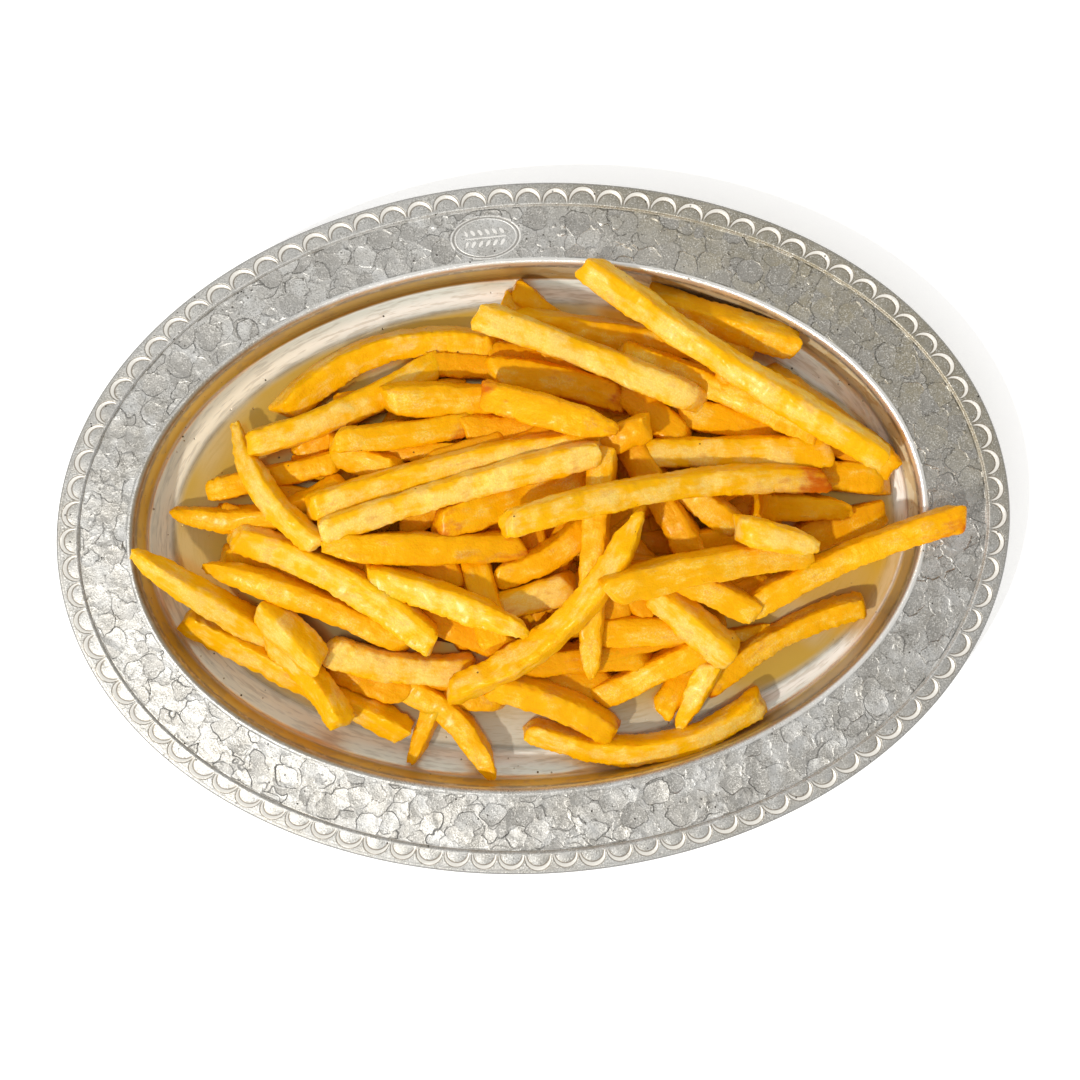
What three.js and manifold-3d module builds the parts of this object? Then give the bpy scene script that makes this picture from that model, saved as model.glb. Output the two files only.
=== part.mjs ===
// A portion of french fries heaped on an oval metal platter with a broad flat rim.
// Millimetres, +Z up. The origin is on the table, under the middle of the platter;
// X runs along the platter and Y across it.
import * as THREE from 'three';
import { mergeVertices } from 'three/addons/utils/BufferGeometryUtils.js';
import Module from 'manifold-3d';

const wasm = await Module();
wasm.setup();

// Platter
const LENGTH = 250;
const WIDTH = 181;
const SHEET = 1.4; // thickness of the metal
const RIM_WIDTH = 21; // from the outer edge to the shoulder above the well
const RIM_HEIGHT = 16.2; // top of the shoulder
const LIP_HEIGHT = 13.4; // top of the outer edge, which droops below the shoulder
const STEP_AT = 5.6; // the border ends here and the rim steps down
const STEP_DROP = 0.55;
const FLOOR_TOP = SHEET;
const FLOOR_AT = 29; // distance in from the edge where the floor turns flat
const WELL_SHIFT = [-1.5, 0.6]; // the hand-beaten well sits slightly off the middle
const PLATTER_SIDES = 56;

// Heap
const CORE_HEIGHT = 13;
const CORE_RADII = [72, 41];
const CORE_CENTRE = [2, 0];
const CORE_ROUNDNESS = 0.6;
const PLATE_GAP = 0.7; // food stays this far above the metal
const SINK = 0.8; // how far a fry presses into what it lies on
const TILT_LIMIT = 12; // degrees
const DROOP = 0.0035; // a fry bends down from its supports by this times distance squared
const TIP_FREE = 4; // a fry's last few millimetres may hang against others
const INNER_SHARE = 0.5; // share of a fry's width that carries it
const BACK_SHARE = 0.85; // share of its width that later fries can lie on
const TIP_OPEN = 2.5; // later fries aren't carried by its last few millimetres
const RING_PITCH = 20; // spacing of the section rings along a fry
const CHAMFER = 0.34; // cut-off part of a section's corner, as a share of half its side

// ---------------------------------------------------------------- solids and meshes

function toManifold(geometry) {
  const bare = geometry.clone();
  bare.deleteAttribute('normal');
  bare.deleteAttribute('uv');
  const merged = mergeVertices(bare, 1e-4);
  const index = merged.index.array;
  const kept = [];
  for (let i = 0; i < index.length; i += 3) {
    const [a, b, c] = [index[i], index[i + 1], index[i + 2]];
    if (a !== b && b !== c && c !== a) kept.push(a, b, c);
  }
  return new wasm.Manifold(new wasm.Mesh({
    numProp: 3,
    vertProperties: Float32Array.from(merged.attributes.position.array),
    triVerts: Uint32Array.from(kept),
  }));
}

function toGeometry(manifold) {
  const { vertProperties, triVerts } = manifold.getMesh();
  const geometry = new THREE.BufferGeometry();
  geometry.setAttribute('position', new THREE.BufferAttribute(Float32Array.from(vertProperties), 3));
  geometry.setIndex(new THREE.BufferAttribute(Uint32Array.from(triVerts), 1));
  geometry.computeVertexNormals();
  return geometry;
}

function namedMesh(name, manifold, material) {
  const mesh = new THREE.Mesh(toGeometry(manifold), new THREE.MeshStandardMaterial(material));
  mesh.name = name;
  return mesh;
}

// Joins equal rings of points into a closed body, with a fan over each end.
function loft(rings) {
  const sides = rings[0].length;
  const positions = rings.flat(2);
  const index = [];
  for (let r = 0; r + 1 < rings.length; r += 1) {
    for (let s = 0; s < sides; s += 1) {
      const a = r * sides + s;
      const b = r * sides + ((s + 1) % sides);
      index.push(a, b, b + sides, a, b + sides, a + sides);
    }
  }
  const last = (rings.length - 1) * sides;
  for (let s = 1; s + 1 < sides; s += 1) {
    index.push(0, s + 1, s);
    index.push(last, last + s, last + s + 1);
  }
  const geometry = new THREE.BufferGeometry();
  geometry.setAttribute('position', new THREE.Float32BufferAttribute(positions, 3));
  geometry.setIndex(index);
  return geometry;
}

// ---------------------------------------------------------------- platter

// Upper surface: [distance in from the outer edge, height].
const UPPER = [
  [0, LIP_HEIGHT - 0.9],
  [0.5, LIP_HEIGHT],
  [STEP_AT, LIP_HEIGHT + 0.75],
  [STEP_AT + 0.7, LIP_HEIGHT + 0.75 - STEP_DROP],
  [RIM_WIDTH - 1, RIM_HEIGHT - 0.5],
  [RIM_WIDTH, RIM_HEIGHT],
  [RIM_WIDTH + 0.9, RIM_HEIGHT - 0.8],
  [RIM_WIDTH + 1.2, RIM_HEIGHT - 2.8],
  [RIM_WIDTH + 2, FLOOR_TOP + 4.2],
  [RIM_WIDTH + 2.5, FLOOR_TOP + 1.9],
  [RIM_WIDTH + 3.4, FLOOR_TOP + 1.1],
  [RIM_WIDTH + 5.8, FLOOR_TOP + 0.45],
  [FLOOR_AT, FLOOR_TOP],
];

// Underside, one sheet below, ending on the flat foot that stands on the table.
const FOOT_AT = FLOOR_AT - 2;
const UNDER = [
  [0.3, LIP_HEIGHT - 0.9 - SHEET * 0.5],
  [STEP_AT, LIP_HEIGHT + 0.4 - SHEET],
  [RIM_WIDTH - 1.4, RIM_HEIGHT - 0.6 - SHEET],
  [RIM_WIDTH - 0.3, RIM_HEIGHT - 3.2],
  [RIM_WIDTH + 0.5, FLOOR_TOP + 4.2],
  [RIM_WIDTH + 1.4, FLOOR_TOP + 1.1],
  [RIM_WIDTH + 2.9, 0.5],
  [FOOT_AT, 0],
];

// How far the middle of the ring at this distance from the edge has moved.
function shiftShare(inset) {
  return THREE.MathUtils.clamp((inset - STEP_AT) / (RIM_WIDTH - STEP_AT), 0, 1);
}

// A turned profile of half the length, squeezed across and shifted into the oval.
function ovalTurning(profile) {
  const points = profile.map(([inset, z]) => new THREE.Vector2(LENGTH / 2 - inset, z));
  const geometry = new THREE.LatheGeometry(points, PLATTER_SIDES).rotateX(Math.PI / 2);
  const spots = geometry.attributes.position;
  for (let i = 0; i < spots.count; i += 1) {
    const radius = Math.hypot(spots.getX(i), spots.getY(i));
    const ring = Math.max(radius, LENGTH / 2 - FOOT_AT);
    const squeeze = 1 - (LENGTH - WIDTH) / 2 / ring;
    const share = shiftShare(LENGTH / 2 - radius);
    spots.setX(i, spots.getX(i) + WELL_SHIFT[0] * share);
    spots.setY(i, spots.getY(i) * squeeze + WELL_SHIFT[1] * share);
  }
  return geometry;
}

function platter() {
  const middle = LENGTH / 2;
  const outline = [[middle, 0], ...[...UNDER].reverse(), ...UPPER, [middle, FLOOR_TOP]];
  return toManifold(ovalTurning(outline));
}

function between(rows, x) {
  for (let i = 1; i < rows.length; i += 1) {
    const [[x0, y0], [x1, y1]] = [rows[i - 1], rows[i]];
    if (x <= x1) return y0 + ((y1 - y0) * (x - x0)) / (x1 - x0);
  }
  return rows[rows.length - 1][1];
}

// Height of the platter's upper surface; far below it beyond the edge.
function platterTop(x, y) {
  let outer = -20;
  let inner = WIDTH / 2 - 0.5;
  for (let step = 0; step < 24; step += 1) {
    const inset = (outer + inner) / 2;
    const share = shiftShare(inset);
    const along = (x - WELL_SHIFT[0] * share) / (LENGTH / 2 - inset);
    const across = (y - WELL_SHIFT[1] * share) / (WIDTH / 2 - inset);
    if (along * along + across * across < 1) outer = inset;
    else inner = inset;
  }
  return outer < 0 ? -50 : between(UPPER, outer);
}

// ---------------------------------------------------------------- height maps

const GRID = { x: -130, y: -96, columns: 261, rows: 193 };

function heightMap(heightAt) {
  const map = new Float32Array(GRID.columns * GRID.rows);
  for (let i = 0; i < GRID.columns; i += 1) {
    for (let j = 0; j < GRID.rows; j += 1) {
      map[i * GRID.rows + j] = heightAt(GRID.x + i, GRID.y + j);
    }
  }
  return map;
}

function readMap(map, x, y) {
  const u = THREE.MathUtils.clamp(x - GRID.x, 0, GRID.columns - 1.001);
  const v = THREE.MathUtils.clamp(y - GRID.y, 0, GRID.rows - 1.001);
  const [i, j] = [Math.floor(u), Math.floor(v)];
  const [a, b] = [u - i, v - j];
  const at = i * GRID.rows + j;
  const near = map[at] * (1 - b) + map[at + 1] * b;
  const far = map[at + GRID.rows] * (1 - b) + map[at + GRID.rows + 1] * b;
  return near * (1 - a) + far * a;
}

function raiseMap(map, x, y, z) {
  const [i, j] = [Math.round(x - GRID.x), Math.round(y - GRID.y)];
  if (i < 0 || j < 0 || i >= GRID.columns || j >= GRID.rows) return;
  const at = i * GRID.rows + j;
  map[at] = Math.max(map[at], z);
}

// ---------------------------------------------------------------- core of the heap

function coreRise(share) {
  return CORE_HEIGHT * Math.max(1 - share * share, 0) ** CORE_ROUNDNESS;
}

function coreTop(x, y) {
  const along = (x - CORE_CENTRE[0]) / CORE_RADII[0];
  const across = (y - CORE_CENTRE[1]) / CORE_RADII[1];
  const share = Math.hypot(along, across);
  return share < 1 ? FLOOR_TOP + coreRise(share) : -50;
}

function core() {
  const base = FLOOR_TOP + PLATE_GAP;
  const profile = [new THREE.Vector2(0, base)];
  for (const share of [0.985, 0.94, 0.8, 0.6, 0.3, 0]) {
    profile.push(new THREE.Vector2(share, Math.max(base + 0.5, FLOOR_TOP + coreRise(share))));
  }
  const dome = new THREE.LatheGeometry(profile, 28).rotateX(Math.PI / 2);
  dome.scale(CORE_RADII[0], CORE_RADII[1], 1);
  dome.translate(CORE_CENTRE[0], CORE_CENTRE[1], 0);
  return toManifold(dome);
}

// ---------------------------------------------------------------- one fry

// Plan points along a smooth line through the two or three given, with the way it points.
function route(points, pitch) {
  const [start, end] = [points[0], points[points.length - 1]];
  const halfway = [(start[0] + end[0]) / 2, (start[1] + end[1]) / 2];
  const middle = points.length === 3 ? points[1] : halfway;
  const first = Math.hypot(middle[0] - start[0], middle[1] - start[1]);
  const second = Math.hypot(end[0] - middle[0], end[1] - middle[1]);
  const m = first / (first + second);
  const count = Math.max(Math.round((first + second) / pitch), 3);
  const along = (t, axis) => (
    (start[axis] * (t - m) * (t - 1)) / m
    + (middle[axis] * t * (t - 1)) / (m * (m - 1))
    + (end[axis] * t * (t - m)) / (1 - m)
  );
  const stations = [];
  for (let i = 0; i <= count; i += 1) {
    const t = i / count;
    const [x, y] = [along(t, 0), along(t, 1)];
    const [dx, dy] = [0, 1].map((axis) => along(t + 0.01, axis) - along(t - 0.01, axis));
    const heading = Math.atan2(dy, dx);
    stations.push({ x, y, heading, t, distance: t * (first + second) });
  }
  return stations;
}

// A square section with its corners cut off, turned about the fry's length.
function section(side, roll) {
  const half = side / 2;
  const cut = half * (1 - CHAMFER);
  const corners = [[half, cut], [cut, half], [-cut, half], [-half, cut],
    [-half, -cut], [-cut, -half], [cut, -half], [half, -cut]];
  const angle = THREE.MathUtils.degToRad(roll);
  const [c, s] = [Math.cos(angle), Math.sin(angle)];
  return corners.map(([u, v]) => [u * c - v * s, u * s + v * c]);
}

// Lowest and highest points of a section at even steps across it.
function envelope(corners, steps) {
  const reach = Math.max(...corners.map(([u]) => u)) * 0.98;
  const columns = [];
  for (let k = 0; k <= steps; k += 1) {
    const u = reach * ((2 * k) / steps - 1);
    const crossings = [];
    corners.forEach(([u0, v0], n) => {
      const [u1, v1] = corners[(n + 1) % corners.length];
      if ((u0 - u) * (u1 - u) <= 0 && u0 !== u1) crossings.push(v0 + ((v1 - v0) * (u - u0)) / (u1 - u0));
    });
    const [low, high] = [Math.min(...crossings), Math.max(...crossings)];
    columns.push({ u, low, high, share: Math.abs(u) / reach });
  }
  return columns;
}

function sideways({ x, y, heading }, u) {
  return [x - Math.sin(heading) * u, y + Math.cos(heading) * u];
}

const metal = heightMap(platterTop);
const heap = heightMap(coreTop); // raised by each fry laid

// Least height of each station's centre that clears the metal and the food below.
function needs(stations, columns) {
  const length = stations[stations.length - 1].distance;
  return stations.map((station) => {
    const free = Math.min(station.distance, length - station.distance) < TIP_FREE;
    const need = { metal: -Infinity, food: -Infinity };
    for (const { u, low, share } of columns) {
      const [x, y] = sideways(station, u);
      need.metal = Math.max(need.metal, readMap(metal, x, y) + PLATE_GAP - low);
      const carries = !free && share <= INNER_SHARE;
      if (carries) need.food = Math.max(need.food, readMap(heap, x, y) - SINK - low);
    }
    return need;
  });
}

// The tilt and droop that let the fry lie lowest over its supports.
function settle(stations, need) {
  const half = stations[stations.length - 1].distance / 2;
  const places = stations.map(({ distance }) => distance - half);
  const least = need.map(({ metal, food }) => Math.max(metal, food));
  let best = null;
  for (let tilt = -TILT_LIMIT; tilt <= TILT_LIMIT; tilt += 1) {
    const slope = Math.tan(THREE.MathUtils.degToRad(tilt));
    const heights = places.map((place) => {
      let top = -Infinity;
      places.forEach((other, k) => {
        top = Math.max(top, least[k] - slope * other - DROOP * (place - other) ** 2);
      });
      return top + slope * place;
    });
    const cost = heights.reduce((sum, z) => sum + z, 0) / heights.length + 0.5 * Math.abs(slope);
    if (!best || cost < best.cost) best = { heights, cost };
  }
  let { heights } = best;
  for (let pass = 0; pass < 4; pass += 1) {
    heights = heights.map((z, k) => (
      k === 0 || k === heights.length - 1 ? z : (heights[k - 1] + 2 * z + heights[k + 1]) / 4
    ));
  }
  const short = (kind) => Math.max(0, ...need.map((needed, k) => needed[kind] - heights[k]));
  const lift = Math.max(short('metal'), 0.7 * short('food'));
  return heights.map((z) => z + lift);
}

// Share of the full section near an end: a sawn-off end is just rounded, a thin tip tapers.
function endShare(kind, distance) {
  return kind === 't'
    ? between([[0, 0.42], [5, 0.76], [20, 1]], distance)
    : between([[0, 0.8], [1.2, 1]], distance);
}

// Lays a fry on the heap so far and returns its solid. The two letters of ends say whether
// its first and last end are cut (c) or taper to a tip (t).
function fry(ends, side, roll, ...points) {
  const corners = section(side, roll);
  const stations = route(points, 1.5);
  const heights = settle(stations, needs(stations, envelope(corners, 8)));
  const heightRows = stations.map((station, k) => [station.t, heights[k]]);
  const heightAt = (t) => between(heightRows, t);

  const fine = route(points, 0.5);
  const length = fine[fine.length - 1].distance;
  const back = envelope(corners, 24).map(({ u, high }) => [u * BACK_SHARE, high]);
  const solidPart = fine.filter(({ distance }) => Math.min(distance, length - distance) > TIP_OPEN);
  for (const station of solidPart) {
    for (const [u, high] of back) raiseMap(heap, ...sideways(station, u), heightAt(station.t) + high);
  }

  const rings = ringPlaces(ends, length).map((distance) => {
    const station = fine[Math.round((distance / length) * (fine.length - 1))];
    const share = endShare(ends[0], distance) * endShare(ends[1], length - distance);
    return corners.map(([u, v]) => [...sideways(station, u * share), heightAt(station.t) + v * share]);
  });
  return toManifold(loft(rings));
}

// Distances along a fry of its section rings.
function ringPlaces(ends, length) {
  const near = (kind) => (kind === 't' ? [0, 5] : [0, 1.2]);
  const head = near(ends[0]);
  const tail = near(ends[1]).map((distance) => length - distance).reverse();
  const [from, to] = [head[head.length - 1], tail[0]];
  const spans = Math.max(1, Math.round((to - from) / RING_PITCH));
  const places = [...head];
  for (let k = 1; k < spans; k += 1) places.push(from + ((to - from) * k) / spans);
  return [...places, ...tail];
}

// ---------------------------------------------------------------- the heap

// Laid from the bottom up: ends, side, roll in degrees, then the plan of its centre line.
const fries = [
  // Short ends that show in the gaps, low on the core.
  fry('cc', 7, 10, [-55.5, -33.5], [-37, -41]),
  fry('cc', 7, 5, [-7, -39.5], [18.5, -42.5]),
  fry('cc', 6.5, 10, [-25.5, -41], [-10.5, -45]),
  fry('cc', 7, 15, [-4.5, -35], [28.5, -34.5]),
  fry('cc', 6.5, 10, [14, -22], [24.5, -21]),
  fry('cc', 6.5, 10, [24, -23], [34, -19]),
  fry('cc', 7, 5, [-53.5, -4], [-19, -10.5]),
  fry('cc', 8, 10, [-34.5, -18], [-7.5, -31]),
  fry('cc', 6.5, 10, [-82.5, -2.5], [-59, -10]),
  fry('cc', 5.2, 10, [-61.5, 23], [-46, 30]),
  fry('cc', 7, 5, [-26, 45.5], [-6.5, 43]),
  fry('cc', 6.5, 5, [-7.5, 47], [17, 43]),
  fry('cc', 7.5, 10, [42.5, -14], [51.5, -22.5]),
  fry('cc', 7, 10, [49.5, -21], [61.5, -16.5]),
  fry('cc', 6.5, 10, [40.5, -7], [62.5, -4]),
  // The skirt of the heap, partly covered.
  fry('tc', 6.6, 20, [-95, 10], [-81.5, 7], [-48.5, 14.5]),
  fry('cc', 6, 5, [-85, 15], [-50.5, 20.5]),
  fry('tc', 7, 15, [-86.5, -5], [-61.5, -14.5], [-34.5, -28.5]),
  fry('cc', 6.5, 35, [-93, -18.5], [-37, -51.5]),
  fry('cc', 7, 25, [-64, 34.5], [-36, 50], [-7, 48.5]),
  fry('cc', 7, 25, [-52, 24.5], [-34, 16.5]),
  fry('cc', 5.2, 5, [-38, 22.5], [-15, 20.5]),
  fry('cc', 7, 10, [-15.5, 27], [13.5, 24]),
  fry('cc', 8, 5, [25.5, 36.5], [40.5, 20.5]),
  fry('cc', 8, 5, [41, 28.5], [71.5, 20]),
  fry('cc', 8, 10, [-13, -20], [10, -15.5]),
  fry('cc', 7.4, 5, [-16, -5.5], [-11.5, -28.5]),
  fry('cc', 7.8, 8, [15, -28], [40.5, -28.5]),
  fry('cc', 6.5, 10, [41, -37], [31.5, -49.5]),
  fry('cc', 7.5, 10, [71, -6.5], [92.5, -1]),
  fry('ct', 7.4, 20, [59, 3.5], [83.5, 0]),
  fry('cc', 7.8, 3, [71, 11], [93.5, 7.5]),
  fry('cc', 6.2, 10, [-34, 2.5], [-17, 10.5]),
  fry('cc', 6.2, 5, [-1, 64], [9, 54]),
  fry('cc', 4.8, 10, [-4, 62], [3.5, 52]),
  // The middle layer.
  fry('tc', 6.8, 35, [-104, -0.5], [-70, -25.5]),
  fry('cc', 7.4, 3, [-72.5, 26.5], [-47.5, 33.5], [-23.5, 44.5]),
  fry('cc', 6.8, 10, [-50, 26], [-33, 26.5], [-16, 28.5]),
  fry('cc', 6.8, 15, [-58, 8.5], [-20.5, 17.5], [19.5, 22]),
  fry('tc', 7.4, 8, [-54.5, -1.5], [-29.5, -3.5], [-3.5, -4]),
  fry('cc', 7.8, 15, [-1.5, 54], [61, 43.5]),
  fry('cc', 7.4, 25, [62.5, 38.5], [95.5, 11]),
  fry('cc', 7, 40, [34.5, 59], [71, 44]),
  fry('cc', 7.5, 20, [40.5, 8.5], [53, -3]),
  fry('cc', 7.5, 20, [25, 25], [42, -10.5]),
  fry('cc', 7, 10, [55.5, -23.5], [81.5, -12], [110.5, -3.5]),
  fry('cc', 6.3, 20, [42, -45.5], [64.5, -31.5], [86, -25]),
  fry('ct', 5.6, 15, [-28, -44], [-36, -60]),
  fry('cc', 6.8, 15, [-10, -11.5], [3.5, -7.5], [15, 1]),
  fry('cc', 6.5, 10, [16, 19.5], [31, 24.5]),
  fry('cc', 6.3, 25, [-4, -52.5], [23.5, -60], [57.5, -48.5]),
  // Fries that lie over it.
  fry('cc', 6.2, 38, [-72, -24.5], [-61.5, -34], [-53, -48]),
  fry('tc', 6, 20, [-77, 32], [-71, 16], [-56, -0.5]),
  fry('cc', 7.4, 10, [-24.5, 2.5], [16, 13.5]),
  fry('ct', 6.6, 15, [-38, -39], [-23.5, -49], [-15, -65]),
  fry('cc', 7, 10, [13.5, -46], [43, -33.5]),
  fry('cc', 8.2, 10, [-36.5, 36], [-5, 34]),
  fry('cc', 7.4, 10, [-9, 42], [9, 38.5], [25, 33]),
  fry('cc', 7.4, 15, [25, 45], [45.5, 36.5], [76, 20.5]),
  fry('ct', 5, 10, [48, -32.5], [60.5, -29.5]),
  fry('cc', 7.2, 15, [37, -14], [56, -25]),
  fry('cc', 7, 25, [-13, -40], [3, -45.5], [18, -55]),
  fry('ct', 6.4, 10, [19.5, 19], [15, -9], [13, -39.5]),
  fry('cc', 7.9, 8, [30.5, 18], [78, 16]),
  // The top of the heap.
  fry('cc', 7.4, 40, [-72, -16.5], [-57.5, -31.5]),
  fry('cc', 7.4, 15, [-79, 2.5], [-54.5, -8], [-27.5, -28]),
  fry('cc', 6.8, 15, [-55, 2], [-20.5, 11], [18, 18.5]),
  fry('ct', 7.6, 10, [-11, 35.5], [22.5, 23.5]),
  fry('cc', 7, 15, [-7, 1], [33, 8.5], [77, 9]),
  fry('tc', 6.8, 20, [27, 2], [13.5, -18.5], [-24, -41]),
  fry('ct', 7, 15, [-43.5, -9.5], [-22.5, -17.5], [-3, -26.5]),
  fry('cc', 7.2, 12, [-56, -28.5], [-37, -34.5], [-19, -36]),
  fry('ct', 6.6, 12, [45, -37], [35.5, -54.5]),
  fry('cc', 7.4, 38, [30.5, -17.5], [50, -36.5]),
  fry('cc', 7.4, 15, [18, -17], [42, -12.5], [71.5, -10.5]),
  fry('ct', 8.2, 10, [52.5, -3], [72.5, -9]),
  fry('cc', 7.5, 12, [-10, 56], [19.5, 43], [45, 30.5]),
  fry('cc', 7.2, 25, [18, 67], [54, 39], [91.5, 13]),
];

// The fries fused on the core. A sealed hollow or a loose scrap is a body of its own in
// decompose, and only the largest body is kept.
function heapOfFries() {
  const joined = fries.reduce((whole, piece) => whole.add(piece), core());
  return joined.simplify(0.02).decompose().sort((a, b) => b.volume() - a.volume())[0];
}

const portion = new THREE.Group();
portion.add(namedMesh('platter', platter(), { color: 0xb9b8b4, roughness: 0.35, metalness: 1 }));
portion.add(namedMesh('fries', heapOfFries(), { color: 0xf2b430, roughness: 0.6, metalness: 0 }));

export default portion;
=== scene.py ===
"""A portion of french fries on an oval hammered platter, dressed for Blender.

Lengths are millimetres until a mesh is made. The fries are laid by the same rule and from the same
list as in the part's own source, so each one lies where its solid does.
"""

import json
import math

import bpy
import numpy as np
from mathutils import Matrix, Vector


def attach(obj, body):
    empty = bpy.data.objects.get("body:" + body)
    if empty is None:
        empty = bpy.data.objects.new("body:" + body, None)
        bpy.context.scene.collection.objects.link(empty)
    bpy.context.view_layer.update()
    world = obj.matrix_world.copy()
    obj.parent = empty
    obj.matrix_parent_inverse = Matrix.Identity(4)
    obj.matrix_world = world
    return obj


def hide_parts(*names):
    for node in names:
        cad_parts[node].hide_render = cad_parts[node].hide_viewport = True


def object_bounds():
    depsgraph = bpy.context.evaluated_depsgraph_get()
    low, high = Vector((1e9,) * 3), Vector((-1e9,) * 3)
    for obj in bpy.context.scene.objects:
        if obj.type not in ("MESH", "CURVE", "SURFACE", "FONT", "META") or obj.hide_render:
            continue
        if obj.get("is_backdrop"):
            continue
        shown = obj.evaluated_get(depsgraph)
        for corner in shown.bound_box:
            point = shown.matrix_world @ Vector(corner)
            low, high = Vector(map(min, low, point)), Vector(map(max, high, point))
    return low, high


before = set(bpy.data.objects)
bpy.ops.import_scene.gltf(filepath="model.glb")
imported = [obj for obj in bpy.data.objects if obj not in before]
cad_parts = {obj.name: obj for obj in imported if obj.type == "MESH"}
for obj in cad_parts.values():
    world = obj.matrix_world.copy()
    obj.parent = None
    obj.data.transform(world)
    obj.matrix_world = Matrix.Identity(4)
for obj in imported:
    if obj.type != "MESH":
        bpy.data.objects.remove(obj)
bounds_at_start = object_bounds()

MM = 0.001

# Platter, as in the part
LENGTH = 250
WIDTH = 181
SHEET = 1.4
RIM_WIDTH = 21
RIM_HEIGHT = 16.2
LIP_HEIGHT = 13.4
STEP_AT = 5.6
STEP_DROP = 0.55
FLOOR_TOP = SHEET
FLOOR_AT = 29
WELL_SHIFT = np.array([-1.5, 0.6])

# Platter decoration
CRESCENTS = 92
CRESCENT_RADIUS = 3.35
PUNCH_DEPTH = 0.34
FOOT_SHIFT = 0.22  # the foot arc of a mark's wall lies this many radii inwards of the top arc
FOOT_RADIUS = 0.88  # and its radius is this share of the top arc's
CRESCENT_AT = STEP_AT - 0.9  # inset of the middle of the punch marks
STRIKES = 900  # hammer blows on the rim
BLOW_PITCH = 7.4  # spacing of the finer blows drawn by the shader, and their reach in pitches
BLOW_REACH = 0.49
BLOW_DROP = 0.5  # how much lower each later layer of blows lies, and how hollow each blow is
BLOW_HOLLOW = 0.7
STRIKE_RADIUS = (2.3, 3.7)
STAMP_ANGLE = 93.7  # degrees round the rim from +X
STAMP_AT = 14.1
STAMP_RADII = (9.3, 5.8)
LIT_SIDE_TOWARDS = 35  # degrees round the well to the side whose wall faces the light, with the least painted reflection and the brightest painted highlight
SHORE_SHIFTS = ((-180, 2.2), (-100, 3.5), (-60, 2.5), (-30, -1), (22, -1), (34, 2.6), (90, 2.6), (180, 2.2))

# Heap, as in the part
CORE_HEIGHT = 13
CORE_RADII = np.array([72, 41])
CORE_CENTRE = np.array([2, 0])
CORE_ROUNDNESS = 0.6
PLATE_GAP = 0.35
SINK = 0.8
TILT_LIMIT = 12
DROOP = 0.0035
TIP_FREE = 4
INNER_SHARE = 0.5
BACK_SHARE = 0.85
TIP_OPEN = 2.5
CHAMFER = 0.34

# Detail of the fries
RING_STEP = 0.7
FACE_POINTS = 8  # points across each of the four faces
SQUARENESS = 4.5  # exponent of the section's superellipse
WIDEN = 1.07  # the crust stands this much proud of the solid's faces
HIDDEN_FRIES = 150
HIDDEN_DROP = 7  # the dark core, painted shade for the depths of the heap, lies this far under the heap's core surface

CRUST_ORANGE = (0.84, 0.36, 0.001)
CRUST_BROWN = (0.60, 0.125, 0.001)
CRUMB_PALE = (0.93, 0.70, 0.20)

# View: straight down, 620 mm above the rim, turned a little about the vertical
CAMERA_HEIGHT = 620
CAMERA_OVER = (1.6, -3.1)
CAMERA_TURN = -3.29
VIEW_WIDTH = 281.8
SENSOR = 36
LIGHT_FROM = Vector((-0.505, -0.395, 0.766))
GLOW_FROM = (-0.45, -0.52, 0.726)  # the brightest part of the sky
FLOOR_GLOW = 0.4  # the table is lit a little from below, as in product photographs


def smoothstep(low, high, x):
    t = np.clip((x - low) / (high - low), 0, 1)
    return t * t * (3 - 2 * t)


# ---------------------------------------------------------------- meshes and shader nodes


def make_piece(name, points, faces, material, values=None, vectors=None):
    """A smooth mesh object from points in millimetres, with one float or vector a point by name."""
    mesh = bpy.data.meshes.new(name)
    mesh.from_pydata((np.asarray(points) * MM).tolist(), [], faces.tolist())
    for key, value in (values or {}).items():
        mesh.attributes.new(key, "FLOAT", "POINT").data.foreach_set("value", np.asarray(value, np.float32))
    for key, value in (vectors or {}).items():
        flat = np.asarray(value, np.float32).ravel()
        mesh.attributes.new(key, "FLOAT_VECTOR", "POINT").data.foreach_set("vector", flat)
    mesh.polygons.foreach_set("use_smooth", np.ones(len(mesh.polygons), bool))
    mesh.materials.append(material)
    piece = bpy.data.objects.new(name, mesh)
    bpy.context.scene.collection.objects.link(piece)
    return piece


def grid_faces(rows, columns, first=0):
    """Quads of a grid of points that closes on itself along each row."""
    r, c = np.meshgrid(np.arange(rows - 1), np.arange(columns), indexing="ij")
    a = first + r * columns + c
    b = first + r * columns + (c + 1) % columns
    return np.stack([a, b, b + columns, a + columns], -1).reshape(-1, 4)


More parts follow.
